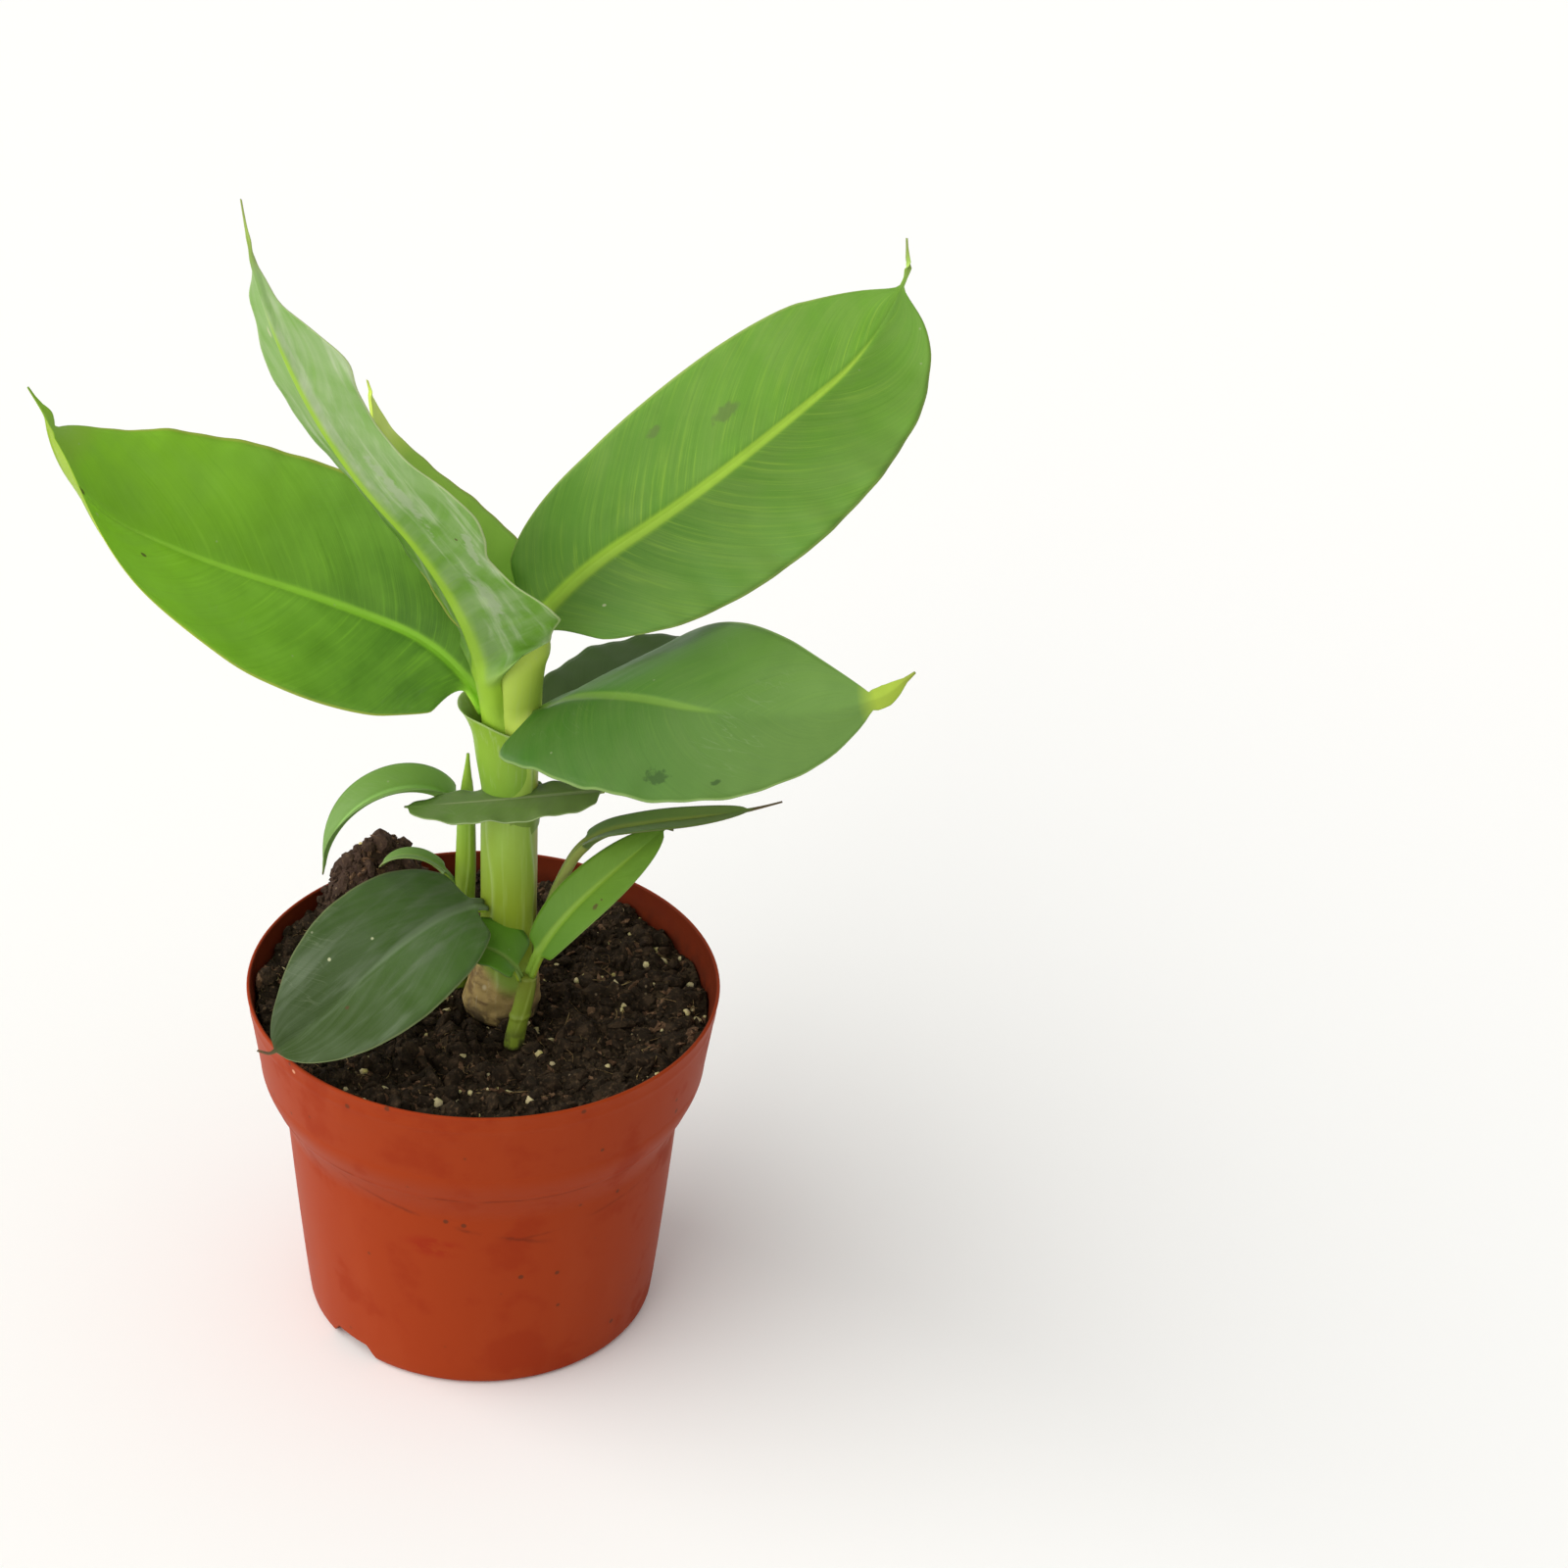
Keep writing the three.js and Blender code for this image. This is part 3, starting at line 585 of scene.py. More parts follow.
def fibreShape(shape, draw):
    bend = [draw.uniform(-0.5, 0.5) for _ in range(3)]
    rows = []
    for step in range(fibre["steps"] + 1):
        along = step / fibre["steps"] - 0.5
        y = 3.0 * bend[0] * sin(3 * along) + 1.6 * bend[1] * sin(8 * along)
        z = 0.15 + 1.2 * abs(bend[2]) * along * along
        thick = fibre["radius"] * (1.15 - 0.8 * abs(along))
        rows.append([shape.verts.new(((fibre["length"] * along) * mm, (y + thick * cos(a)) * mm,
                                      (z + thick * sin(a)) * mm)) for a in fibre["sides"]])
    for first, second in zip(rows, rows[1:]):
        for side in range(3):
            after = (side + 1) % 3
            shape.faces.new((first[side], first[after], second[after], second[side]))
    shape.faces.new(rows[0])
    shape.faces.new(rows[-1])


def bitShape(kind, seed, sides):
    shape = bmesh.new()
    draw = random.Random(seed)
    if kind == "fibres":
        fibreShape(shape, draw)
        return closedObject(shape, kind + "Bit")
    bmesh.ops.create_icosphere(shape, subdivisions=sides, radius=mm)
    squeeze = [draw.uniform(0.65, 1.15), draw.uniform(0.65, 1.15), draw.uniform(0.5, 0.95)]
    if kind == "barkBits":
        squeeze = [draw.uniform(1.2, 1.9), draw.uniform(0.5, 0.8), draw.uniform(0.25, 0.4)]
    for vertex in shape.verts:
        way = vertex.co / mm
        lump = 1 + 0.42 * noise.noise(way * 1.3 + Vector((seed * 3.1, 0, 0))) + 0.18 * noise.noise(way * 3.1)
        vertex.co = Vector([part * pull * lump for part, pull in zip(way, squeeze)]) * mm
    return closedObject(shape, kind + "Bit")


def islandsOf(shape):
    seen = set()
    for vertex in shape.verts:
        island, edge = [], [] if vertex in seen else [vertex]
        seen.add(vertex)
        while edge:
            island.append(edge.pop())
            around = [link.other_vert(island[-1]) for link in island[-1].link_edges]
            fresh = [other for other in around if other not in seen]
            seen.update(fresh)
            edge += fresh
        if island:
            yield island


# No crumb reaches through the pot's wall or into a stem
def keepClear(shape):
    gone = []
    for island in islandsOf(shape):
        outer = max(hypot(v.co.x, v.co.y) - (potRadius(min(v.co.z / mm, pot["height"])) - pot["wall"]) * mm
                    for v in island)
        top = max(v.co.z for v in island)
        inStem = any(hypot(v.co.x / mm - x, v.co.y / mm - y) < radius
                     for x, y, radius in soil["feet"] for v in island)
        if (outer > -0.05 * mm and top < (pot["height"] + 1) * mm) or inStem:
            gone += island
    bmesh.ops.delete(shape, geom=gone, context="VERTS")


def strewOnSoil(ground):
    tree, sockets = strewTree()
    variants = 4
    for order, (kind, bits) in enumerate(strewn.items()):
        density, smallest, largest, tilt, least, sides, name, dark, brown = bits
        dress = soilMaterial(name, dark, brown, 260)
        together = bmesh.new()
        for variant in range(variants):
            bit = bitShape(kind, 7 * order + variant, sides)
            holder = linkedObject("strewing", ground.data.copy())
            strewing = holder.modifiers.new("strewing", "NODES")
            strewing.node_group = tree
            values = {
                "Bit": bit, "Density": density * 1e6 / variants, "Smallest": smallest, "Largest": largest,
                "Tilt": tilt, "Least Open": least, "Seed": 31 * order + variant, "Dress": dress,
            }
            for label, value in values.items():
                strewing[sockets[label]] = value
            together.from_mesh(plainMesh(holder, kind))
            bpy.data.objects.remove(holder)
            bpy.data.objects.remove(bit)
        keepClear(together)
        piece = objectFrom(together, kind)
        mesh = piece.data
        mesh.materials.append(dress)
        mesh.polygons.foreach_set("material_index", [0] * len(mesh.polygons))
        mesh.polygons.foreach_set("use_smooth", [kind in ("fibres", "perlite")] * len(mesh.polygons))
        declare(piece, "peat")
        print(kind, len(mesh.polygons), "faces")


# Stems are columns of round sections (x, y, height, radius), whose sheaths overlap round them. A
# sheath has its low and high end, the azimuth of its margin at both, how far it stands proud, and
# how far round it reaches. A look is green, olive, pale, top, blush, marks and the share of marks.
brownFleck = (0.09, 0.06, 0.025)
stems = dict(
    main_stem=dict(
        name="mainStem", dress="leafSheath", segments=96, step=0.8, scars=[89.5, 93.2, 96.4],
        sections=[(4.4, 1.6, 86.3, 9.4), (4.4, 1.7, 90.3, 9.6), (4.9, 1.8, 95.3, 8.6),
                  (5.6, 2, 100.3, 7.2), (6, 2, 114.3, 6.9), (6, 2, 140.3, 6.9), (6, 2.2, 158.3, 6.8),
                  (6.4, 1.7, 170.3, 6.8), (6, 1, 182.3, 7.5), (6.6, 1.1, 188.3, 7.6), (8.2, 1.8, 191.3, 7),
                  (10, 2.8, 194.3, 5), (10.6, 3.2, 196.3, 3.6), (10.8, 3.4, 197.3, 2)],
        sheaths=[(92, 150, (252, 214), 0.45, 150), (97, 178, (338, 312), -0.4, 170),
                 (100, 160, (70, 120), 0.4, 140)],
        look=[(0.275, 0.425, 0.06), (0.21, 0.285, 0.01), (0.45, 0.58, 0.22), (0.5, 0.66, 0.09),
              (0.3, 0.27, 0.03), brownFleck, 0.06],
        bulb=dict(top=98.5, wave=3.0, skin=(0.4, 0.28, 0.1), dark=(0.11, 0.06, 0.025),
                  red=(0.24, 0.07, 0.03), fleck=(0.55, 0.46, 0.28), dirt=(0.03, 0.02, 0.012)),
    ),
    back_sucker_stem=dict(
        name="backSucker", dress="backSuckerSkin", segments=48, step=0.8, scars=[],
        sections=[(-6.8, 11.5, 86.3, 3.4), (-6, 10.6, 98.3, 2.9), (-5.2, 9.8, 118.3, 2.6),
                  (-5, 9.4, 138.3, 2.2), (-4.8, 9, 148.3, 1.4), (-4.6, 8.8, 157.3, 0.4)],
        sheaths=[(96, 150, (250, 300), 0.3, 120)],
        look=[(0.28, 0.46, 0.05), (0.24, 0.36, 0.02), (0.45, 0.58, 0.2), (0.3, 0.48, 0.05),
              (0.2, 0.22, 0.03), brownFleck, 0.05],
    ),
    front_sucker_stem=dict(
        name="frontSucker", dress="frontSuckerSkin", segments=48, step=0.5, scars=[95.5],
        sections=[(7.6, -15.6, 86.3, 2.7), (8.6, -15.2, 93.3, 2.4), (10, -14.6, 100.3, 2.3),
                  (11, -14.1, 106.3, 2.2)],
        sheaths=[(91, 105, (255, 290), 0.28, 130)],
        look=[(0.2, 0.28, 0.025), (0.14, 0.17, 0.016), (0.33, 0.42, 0.1), (0.21, 0.31, 0.02),
              (0.1, 0.08, 0.02), (0.035, 0.02, 0.01), 0.3],
    ),
)
# The lowest big leaf's sheath stands open round the top of the stem, higher on the left. Its sections
# are x, y, height, radius and slant.
topSheath = dict(
    sections=[(6, 2, 147, 6.4, 0), (5, 1.9, 159, 7.5, 0.14), (4.2, 1.8, 167, 8, 0.28),
              (2.8, 1.6, 173, 9, 0.38)],
    wall=0.7, rows=40, columns=96,
    look=[(0.19, 0.35, 0.035), (0.19, 0.27, 0.02), (0.55, 0.62, 0.4), (0.23, 0.385, 0.027),
          (0.2, 0.22, 0.03), brownFleck, 0.04],
)
# The folded leaf's short sheath clasps the right side of the stem, and runs down to a point at the front
hug = dict(
    low=138, climb=5, high=152, azimuth=(266, 385), axis=(6, 2.1), radius=6.8, wall=0.55,
    lean=1.1, lip=0.45, rows=36, columns=48,
    look=[(0.16, 0.26, 0.035), (0.12, 0.2, 0.025), (0.4, 0.48, 0.13), (0.13, 0.2, 0.035),
          (0.14, 0.2, 0.03), brownFleck, 0.04],
)


def curveAt(points, place):
    low = int(clamp(place, 0, len(points) - 2))
    share = place - low
    around = points[max(low - 1, 0)], points[low], points[low + 1], points[min(low + 2, len(points) - 1)]
    return [0.5 * (2 * b + (c - a) * share + (2 * a - 5 * b + 4 * c - d) * share ** 2
                   + (3 * b - a - 3 * c + d) * share ** 3) for a, b, c, d in zip(*around)]


def sheathLift(stem, azimuth, z):
    lift, edge = 0.0, 0.0
    for low, high, margins, proud, spread in stem["sheaths"]:
        if not low <= z <= high:
            continue
        share = (z - low) / (high - low)
        margin = lerp(*margins, share ** 0.8) + 4 * sin(z * 0.21)
        away = (azimuth - margin + 180) % 360 - 180
        way = away if proud > 0 else -away
        height = abs(proud) * sin(pi * clamp(share)) ** 0.35
        if way >= 0:
            lift += height * smooth(way, 0, 5) * (1 - smooth(way, spread * 0.4, spread))
        edge = max(edge, hump((way - 4) / 4.5) * min(1, height * 4))
    return lift, edge


def stemMaterial(name, look):
    material, tree = newMaterial(name)
    green, olive, pale, top, blushed, fleck, share = look
    foot = stems["main_stem"]["bulb"]
    place = placeIn(tree)
    height = parts(place)[2] * 1000
    around, edge, inside = [attribute(tree, label) for label in ("around", "edge", "bulb")]
    lines = place.mapped((1, 1, 0.05)).grain(700, 3, 0.6)
    tall = place.mapped((1, 1, 0.4))
    waxy = softPatches(tree, place.mapped((1, 1, 0.3), (2, 5, 1)), 80, 0.5, 0.72)
    colour = painted(
        green, (softPatches(tree, tall, 110, 0.38, 0.68) * 0.35, olive),
        (height.ramp(98, 108) * height.ramp(118, 138, 1, 0) * 0.85, olive),
        (height.ramp(150, 172, 0, 0.9), top), (lines.ramp(0.5, 0.75, 0, 0.2), pale), (waxy * 0.25, pale),
        (abs(around - 0.955).ramp(0, 0.075, 0.8, 0) * height.ramp(150, 166, 1, 0), blushed),
        (edge * 0.35, pale), (smallDots(tree, tall, 120, 0.2, share) * 0.55, fleck),
    )
    skin = softPatches(tree, place.mapped((1, 1, 2.2)), 200, 0.44, 0.7)
    bulb = painted(
        foot["skin"], (skin * 0.8, foot["dark"]),
        (softPatches(tree, place, 95, 0.52, 0.68) * 0.55, foot["red"]),
        (lines.ramp(0.58, 0.78, 0, 0.5), foot["fleck"]),
        (smallDots(tree, place, 260, 0.25, 0.08) * 0.8, foot["fleck"]),
    )
    dirty = height.ramp(87, 94, 0.9, 0) * place.grain(260, 4).ramp(0.38, 0.56)
    colour = painted(colour, (inside, bulb), (dirty, foot["dirt"]))
    relief = lines * 0.5 + skin * inside
    return fitShader(material, colour, inside.ramp(0, 1, 0.46, 0.75), relief, 0.0002, 0.5, 0.25)


def makeStem(node):
    stem = stems[node]
    sections, count = stem["sections"], stem["segments"]
    low, high = sections[0][2], sections[-1][2]
    rows = int((high - low) / stem["step"]) + 1
    vertices, around, edges, bulbs = [], [], [], []
    for row in range(rows + 1):
        z = lerp(low, high, row / rows)
        index = next(i for i in range(len(sections) - 1) if z <= sections[i + 1][2] + 1e-6)
        share = (z - sections[index][2]) / (sections[index + 1][2] - sections[index][2])
        x, y, _, radius = curveAt(sections, index + share)
        for step in range(count):
            azimuth = 360 * step / count
            turn = radians(azimuth)
            lift, edge = sheathLift(stem, azimuth, z)
            for scar in stem["scars"]:
                lift += 0.35 * hump((z - scar - 0.5 * sin(turn + scar)) / 0.5)
            bulb = 0.0
            if "bulb" in stem:
                top = stem["bulb"]["top"] + stem["bulb"]["wave"] * sin(radians(azimuth * 2 + 40))
                bulb = 1 - smooth(z, top - 2.5, top + 2.5)
            lift += bulb * 0.5 * ripples(x + 9 * cos(turn), 9 * sin(turn), z, 3.0)
            grown = radius + lift
            vertices.append((x + grown * cos(turn), y + grown * sin(turn), z))
            around.append(step / count)
            edges.append(edge)
            bulbs.append(bulb)
    dress = stemMaterial(stem["dress"], stem["look"])
    pieceFrom(stem["name"], vertices, loftFaces(rows + 1, count), "stem", dress, node,
              around=around, edge=edges, bulb=bulbs)


# A rule gives a point and its paleness, by the shell, the share of the way up and the share across
def thinSheath(name, sheath, closed, rule):
    rows, columns = sheath["rows"], sheath["columns"]
    spots = [(shell, row / rows, column / columns) for shell in (0, 1) for row in range(rows + 1)
             for column in range(columns if closed else columns + 1)]
    vertices, edges = [list(values) for values in zip(*[rule(*spot) for spot in spots])]
    dress = stemMaterial(name + "Skin", sheath["look"])
    pieceFrom(name, vertices, wallFaces(rows, columns, closed), "stem", dress,
              around=[spot[2] if closed else 0.5 for spot in spots], edge=edges, bulb=[0.0] * len(vertices))


def topSheathPoint(shell, share, across):
    x, y, z, radius, slant = curveAt(topSheath["sections"], share * (len(topSheath["sections"]) - 1))
    wall = radius - shell * topSheath["wall"] * lerp(1, 0.55, share)
    angle = 2 * pi * across
    out = wall + (1.2 * share ** 6 * max(0.0, -cos(angle + 0.5)) if share > 0.5 else 0.0)
    lip = z - slant * wall * cos(angle) + 0.5 * share ** 3 * sin(3 * angle + 1)
    return (x + out * cos(angle), y + out * sin(angle), lip), smooth(share, 0.93, 1)


def hugPoint(shell, share, across):
    turn = radians(lerp(hug["azimuth"][0] - 5 * share ** 2, hug["azimuth"][1], across))
    rim = 1 - smooth(across, 0, 0.05) * (1 - smooth(across, 0.95, 1)) * smooth(share, 0, 0.06)
    bulge = hug["lean"] * share ** 1.5 * sin(pi * clamp(across * 0.8 + 0.1))
    lip = hug["lip"] * hump(across / 0.05) * share
    radius = hug["radius"] + (1 - shell) * hug["wall"] * (1 - 0.7 * rim) + bulge + lip
    z = lerp(hug["low"] + hug["climb"] * across ** 0.8, hug["high"], share)
    x, y = [middle + radius * way for middle, way in zip(hug["axis"], (cos(turn), sin(turn)))]
    return (x, y, z), max(1 - smooth(across, 0.01, 0.07), 1 - smooth(share, 0.02, 0.12))


# Leaves, in the order of their seeds. The azimuth is 0 towards +X and 90 towards +Y, at the stem and
# at the tip. The rise is the rib's slope above the level, at even steps from the stem to the tip. Left
# and right are seen from the stem, looking outwards. A stalk is its length and radius, a tail its
# length, azimuth and rise, and a wave or ripple its sizes left and right, its count and its start. A
# swell is a side, a place along, an amount and its reach. The sweep is how far a side vein leans to
# the tip, at the base and at the tip, as a share of the half width, and ribFade where the pale rib is
# lost. A side's tones are near the stalk, far out, the streaks and the rib. A tip is its tone and
# start. A mark is across, along, radius, tone, raggedness and how long it is for its width.
# Each leaf's left half is made brighter by a factor, as painted light standing in for light that falls on or
# shines through that half.
usualLeaf = dict(
    slot="bright_leaf", blunt=(1, 1), taper=0.07, sharp=0, lobe=(1, 1), lobePower=2, flare=(0, 0),
    baseReach=5, ripple=(0, 0, 0, 0), swells=(), sweep=(0.15, 1.3), ribFade=(0.7, 0.97),
    tailHalves=(0.5, 0.3), underTip=None,
    under=((0.22, 0.37, 0.12), (0.22, 0.37, 0.12), (0.36, 0.46, 0.27), (0.3, 0.42, 0.03)),
    # The bloom streaks along a blade are partly pale waxy bloom and partly a painted sheen.
    margin=(0.3, 0.42, 0.12), tipReach=0.05, leftTone=1, patches=0.4, veins=0.12, bloom=0, dead=0.7,
    gloss=0.2, marks=(),
)
leaves = {
    "leaf_top_left": dict(
        root=(-0.5, 2, 173.7), azimuth=(186, 198), rise=(69, 28, 24, 34, 82), stalk=(7, 2), blade=131,
        half=(32.5, 31), roll=(-64, -12), fold=16, curl=9, widest=0.48, fullness=1.12, blunt=(1.15, 1),
        sharp=0.02, tail=(11, 180, 62), tailHalves=(3.4, 2.4, 1.1, 0.5, 0.3), wave=(0, 0.3, 6.5, 0.2),
        ribFade=(0.55, 0.97), rows=118, columns=18, face=((0.078, 0.193, 0.025), (0.25, 0.55, 0.019),
        (0.22, 0.46, 0.045), (0.3, 0.6, 0.045)), under=((0.15, 0.28, 0.04), (0.19, 0.31, 0.03),
        (0.26, 0.36, 0.06), (0.3, 0.42, 0.03)), margin=(0.42, 0.5, 0.07), tip=((0.27, 0.5, 0.035), 0.87),
        underTip=(0.22, 0.33, 0.025), leftTone=1.27, patches=0.45, veins=0.3, dead=0.04,
        marks=((0.86, 0.17, 2.4, "dark", 0.2, 1), (0, 0.86, 1.1, "brown", 0.5, 1.6),
        (-0.16, 0.82, 0.7, "pale", 0.4, 1), (-0.3, 0.72, 0.8, "brown", 0.5, 1))),
    "leaf_tall": dict(
        root=(2.8, -1.9, 169.5), azimuth=(228, 211), rise=(84, 63, 51, 63, 76), stalk=(17.2, 3.7), blade=144,
        half=(29, 21), roll=(-6, 15), fold=11, curl=-6, lobe=(-8, -1), flare=(34, 0), baseReach=6,
        widest=0.365, fullness=1.12, blunt=(0.6, 0.6), taper=0.06, sharp=0.05, swells=((0, 0.1, -0.26, 0.1),
        (0, 0.32, -0.17, 0.09), (0, 0.94, -0.45, 0.035), (0, 0.85, 0.25, 0.05), (1, 0.93, 0.35, 0.04),
        (1, 0.8, 0.12, 0.06)), tail=(15, 190, 82), tailHalves=(0.6, 0.5, 1.1, 0.6, 0.4, 0.3),
        ripple=(0.14, -0.03, 2.88, 0.76), wave=(0.3, 0.2, 5, 0.6), ribFade=(0.75, 1), rows=130, columns=18,
        face=((0.11, 0.26, 0.03), (0.13, 0.28, 0.04), (0.17, 0.31, 0.07), (0.3, 0.46, 0.03)),
        under=((0.125, 0.29, 0.02), (0.2, 0.37, 0.085), (0.4, 0.5, 0.29), (0.33, 0.55, 0.035)),
        margin=(0.45, 0.55, 0.25), tip=((0.3, 0.42, 0.08), 0.98), patches=0.45, bloom=0.7, dead=0.3,
        gloss=0.3, marks=((0.45, 0.86, 1.3, "pale", 0.4, 1.4), (-0.62, 0.4, 0.6, "brown", 0.6, 1),
        # The wax marks are pale waxy bloom and a painted sheen on the underside.
        (-0.3, 0.52, 2.2, "wax", 0.7, 7), (-0.78, 0.38, 2.2, "wax", 0.7, 4),
        (-0.35, 0.22, 2, "wax", 0.7, 5))),
    "leaf_rear": dict(
        root=(7.9, 6, 183.7), azimuth=(153, 149), rise=(67, 48, 45, 58, 85), stalk=(12, 2.2), blade=65,
        half=(13, 18.3), roll=(-23, 30), fold=9, curl=-4, lobe=(2, 2), widest=0.3, fullness=1.2,
        tail=(4, 180, 75), tailHalves=(1.5, 0.8, 0.4), wave=(0.3, 0.3, 4, 0.1), rows=72, columns=14,
        face=((0.21, 0.41, 0.045), (0.32, 0.53, 0.05), (0.27, 0.48, 0.07), (0.27, 0.42, 0.03)),
        under=((0.21, 0.41, 0.045), (0.32, 0.53, 0.05), (0.3, 0.5, 0.09), (0.3, 0.42, 0.03)),
        margin=(0.45, 0.42, 0.1), tip=((0.57, 0.72, 0.1), 0.7), tipReach=0.12, veins=0.15, dead=0.3,
        gloss=0.18),
    "leaf_top_right": dict(
        root=(8.6, 3.2, 193.4), azimuth=(12, 57), rise=(58, 26, 24, 16, 42), stalk=(3.2, 3), blade=133,
        half=(29.5, 30.5), roll=(67, 33), fold=23, curl=12, lobe=(-3, -4), widest=0.43, fullness=1.12,
        blunt=(1, 1.16), sharp=0.03, tail=(13, 200, 84), tailHalves=(0.6, 0.6, 1.2, 0.7, 0.4, 0.3),
        wave=(0.1, 0.8, 7, 0.4), ribFade=(0.7, 0.98), rows=118, columns=18, face=((0.11, 0.25, 0.035),
        (0.134, 0.305, 0.031), (0.18, 0.31, 0.065), (0.36, 0.55, 0.06)), margin=(0.3, 0.42, 0.1),
        tip=((0.26, 0.38, 0.08), 0.985), leftTone=1.65, patches=0.45, veins=0.34, dead=0.4, gloss=0.18,
        marks=((-0.42, 0.52, 2.2, "scuff", 0.5, 2.2), (0.45, 0.13, 0.7, "pale", 0.3, 1),
        (-0.7, 0.38, 1.4, "scuff", 0.5, 2))),
    "leaf_right": dict(
        slot="dark_leaf", root=(9.4, 1, 169.7), azimuth=(309, 339), rise=(59, 25, 8, 15, 32), stalk=(9, 2.4),
        blade=100, half=(31.5, 25), roll=(6, 58), fold=-7, curl=-12, lobe=(1, 12), lobePower=1.5,
        widest=0.32, fullness=1.23, blunt=(1, 1.15), tail=(12, 0, 45), tailHalves=(2.6, 2.6, 1.8, 0.7, 0.3),
        wave=(0, 0.6, 5.5, 0.7), ribFade=(0.4, 0.7), rows=96, columns=17, face=((0.053, 0.156, 0.018),
        (0.1, 0.195, 0.035), (0.093, 0.18, 0.039), (0.145, 0.27, 0.04)), margin=(0.24, 0.36, 0.11),
        tip=((0.27, 0.37, 0.035), 0.955), leftTone=1.15, patches=0.55, veins=0.2, dead=0.3, gloss=0.15,
        marks=((0.75, 0.49, 2, "dark", 0.9, 1.3), (0.8, 0.62, 0.9, "dark", 0.9, 1.3),
        (0.9, 0.02, 1.6, "brown", 0.9, 1))),
    # This leaf's tones are dark partly as its own colour and partly as painted shade from the leaves above
    # it.
    "leaf_rear_right": dict(
        slot="dark_leaf", root=(9.6, 8, 156.3), azimuth=(41, 25), rise=(51, 20, 0, -11, -12), stalk=(8, 2.2),
        blade=68, half=(18.5, 19), roll=(-12, 0), fold=2, curl=-5, lobe=(4, 4), widest=0.43, fullness=1.1,
        tail=(4, 20, -20), wave=(0.4, 0.4, 4.5, 0.3), rows=70, columns=14, face=((0.033, 0.063, 0.012),
        (0.04, 0.08, 0.014), (0.042, 0.075, 0.016), (0.06, 0.1, 0.02)), under=((0.05, 0.09, 0.026),
        (0.06, 0.11, 0.03), (0.07, 0.11, 0.035), (0.1, 0.15, 0.05)), margin=(0.12, 0.19, 0.06),
        tip=((0.17, 0.22, 0.05), 0.95), gloss=0.1),
    "leaf_narrow": dict(
        slot="dark_leaf", root=(12.4, -0.5, 102), azimuth=(349, 355), rise=(85, 74, 65, 17, 11, 16),
        stalk=(38.5, 2), blade=43, half=(4.2, 7.2), roll=(-2, 6), fold=18, curl=-2, widest=0.4, fullness=1,
        tail=(9, 355, 20), wave=(0, 0, 3.5, 0.1), rows=50, columns=11, face=((0.095, 0.185, 0.042),
        (0.14, 0.215, 0.045), (0.14, 0.2, 0.065), (0.2, 0.25, 0.05)), under=((0.1, 0.16, 0.04),
        (0.1, 0.16, 0.04), (0.14, 0.2, 0.07), (0.24, 0.27, 0.065)), margin=(0.11, 0.12, 0.04),
        tip=((0.12, 0.08, 0.035), 1), veins=0.1, bloom=0.3),
    "leaf_arched": dict(
        root=(-5.2, 9, 137), azimuth=(203, 193), rise=(78, 32, -10, -49, -84), stalk=(5, 1.7), blade=48,
        half=(7.3, 7.3), roll=(-5, 9), fold=25, curl=5, widest=0.36, fullness=0.95, sharp=0.12,
        tail=(3, 193, -85), wave=(0, 0, 3, 0.5), rows=56, columns=11, face=((0.21, 0.39, 0.07),
        (0.13, 0.25, 0.048), (0.18, 0.31, 0.09), (0.28, 0.5, 0.13)), under=((0.13, 0.26, 0.045),
        (0.14, 0.27, 0.05), (0.17, 0.3, 0.08), (0.2, 0.34, 0.06)), margin=(0.2, 0.33, 0.1),
        tip=((0.17, 0.27, 0.06), 0.96), bloom=0.3),
    # The grey streak tone of this leaf paints a sheen as well as waxy bloom and tone patches.
    "leaf_drooping": dict(
        slot="dark_leaf", root=(-0.3, -2.5, 119.9), azimuth=(230, 206), rise=(31, -4, -25, -32, -23),
        stalk=(4, 2), blade=66, half=(18.8, 19.6), roll=(-28, -15), fold=3, curl=-3, lobe=(3, 3),
        widest=0.49, fullness=1.2, tail=(5, 150, -5), sweep=(2.4, 3), wave=(0.15, 0.2, 4, 0.8),
        ribFade=(0.3, 0.8), rows=70, columns=15, face=((0.058, 0.117, 0.026), (0.026, 0.048, 0.008),
        (0.11, 0.145, 0.085), (0.12, 0.165, 0.09)), margin=(0.14, 0.17, 0.07),
        tip=((0.09, 0.055, 0.03), 0.98), leftTone=1.3, patches=0.35, bloom=0.5, gloss=0.12,
        marks=((0.3, 0.45, 0.5, "pale", 0.3, 1), (-0.2, 0.7, 0.5, "brown", 0.7, 1),
        (0.5, 0.62, 0.5, "pale", 0.3, 1))),
    "leaf_small_arched": dict(
        root=(-7.4, 9.8, 117.5), azimuth=(180, 179), rise=(66, 48, 24, -8, -47), stalk=(5, 1.2), blade=18,
        half=(3.6, 3), roll=(4, 6), fold=15, curl=0, lobe=(0, 0), widest=0.42, fullness=0.95,
        tail=(1.5, 180, -50), wave=(0, 0, 2, 0.2), rows=36, columns=9, face=((0.13, 0.25, 0.045),
        (0.13, 0.25, 0.045), (0.18, 0.3, 0.08), (0.2, 0.32, 0.08)), tip=((0.18, 0.22, 0.06), 0.95),
        veins=0.1),
    "leaf_bright": dict(
        root=(11.2, -14, 106.6), azimuth=(12, 25), rise=(75, 54, 41, 35, 35), stalk=(6, 1.7), blade=45,
        half=(7.2, 7.7), roll=(21, 21), fold=9, curl=-1, widest=0.44, fullness=1.05, tail=(3, 0, -20),
        wave=(0, 0, 3, 0.6), rows=56, columns=12, face=((0.078, 0.185, 0.008), (0.15, 0.29, 0.03),
        (0.095, 0.2, 0.02), (0.19, 0.32, 0.03)), margin=(0.2, 0.32, 0.06), tip=((0.12, 0.24, 0.03), 0.97),
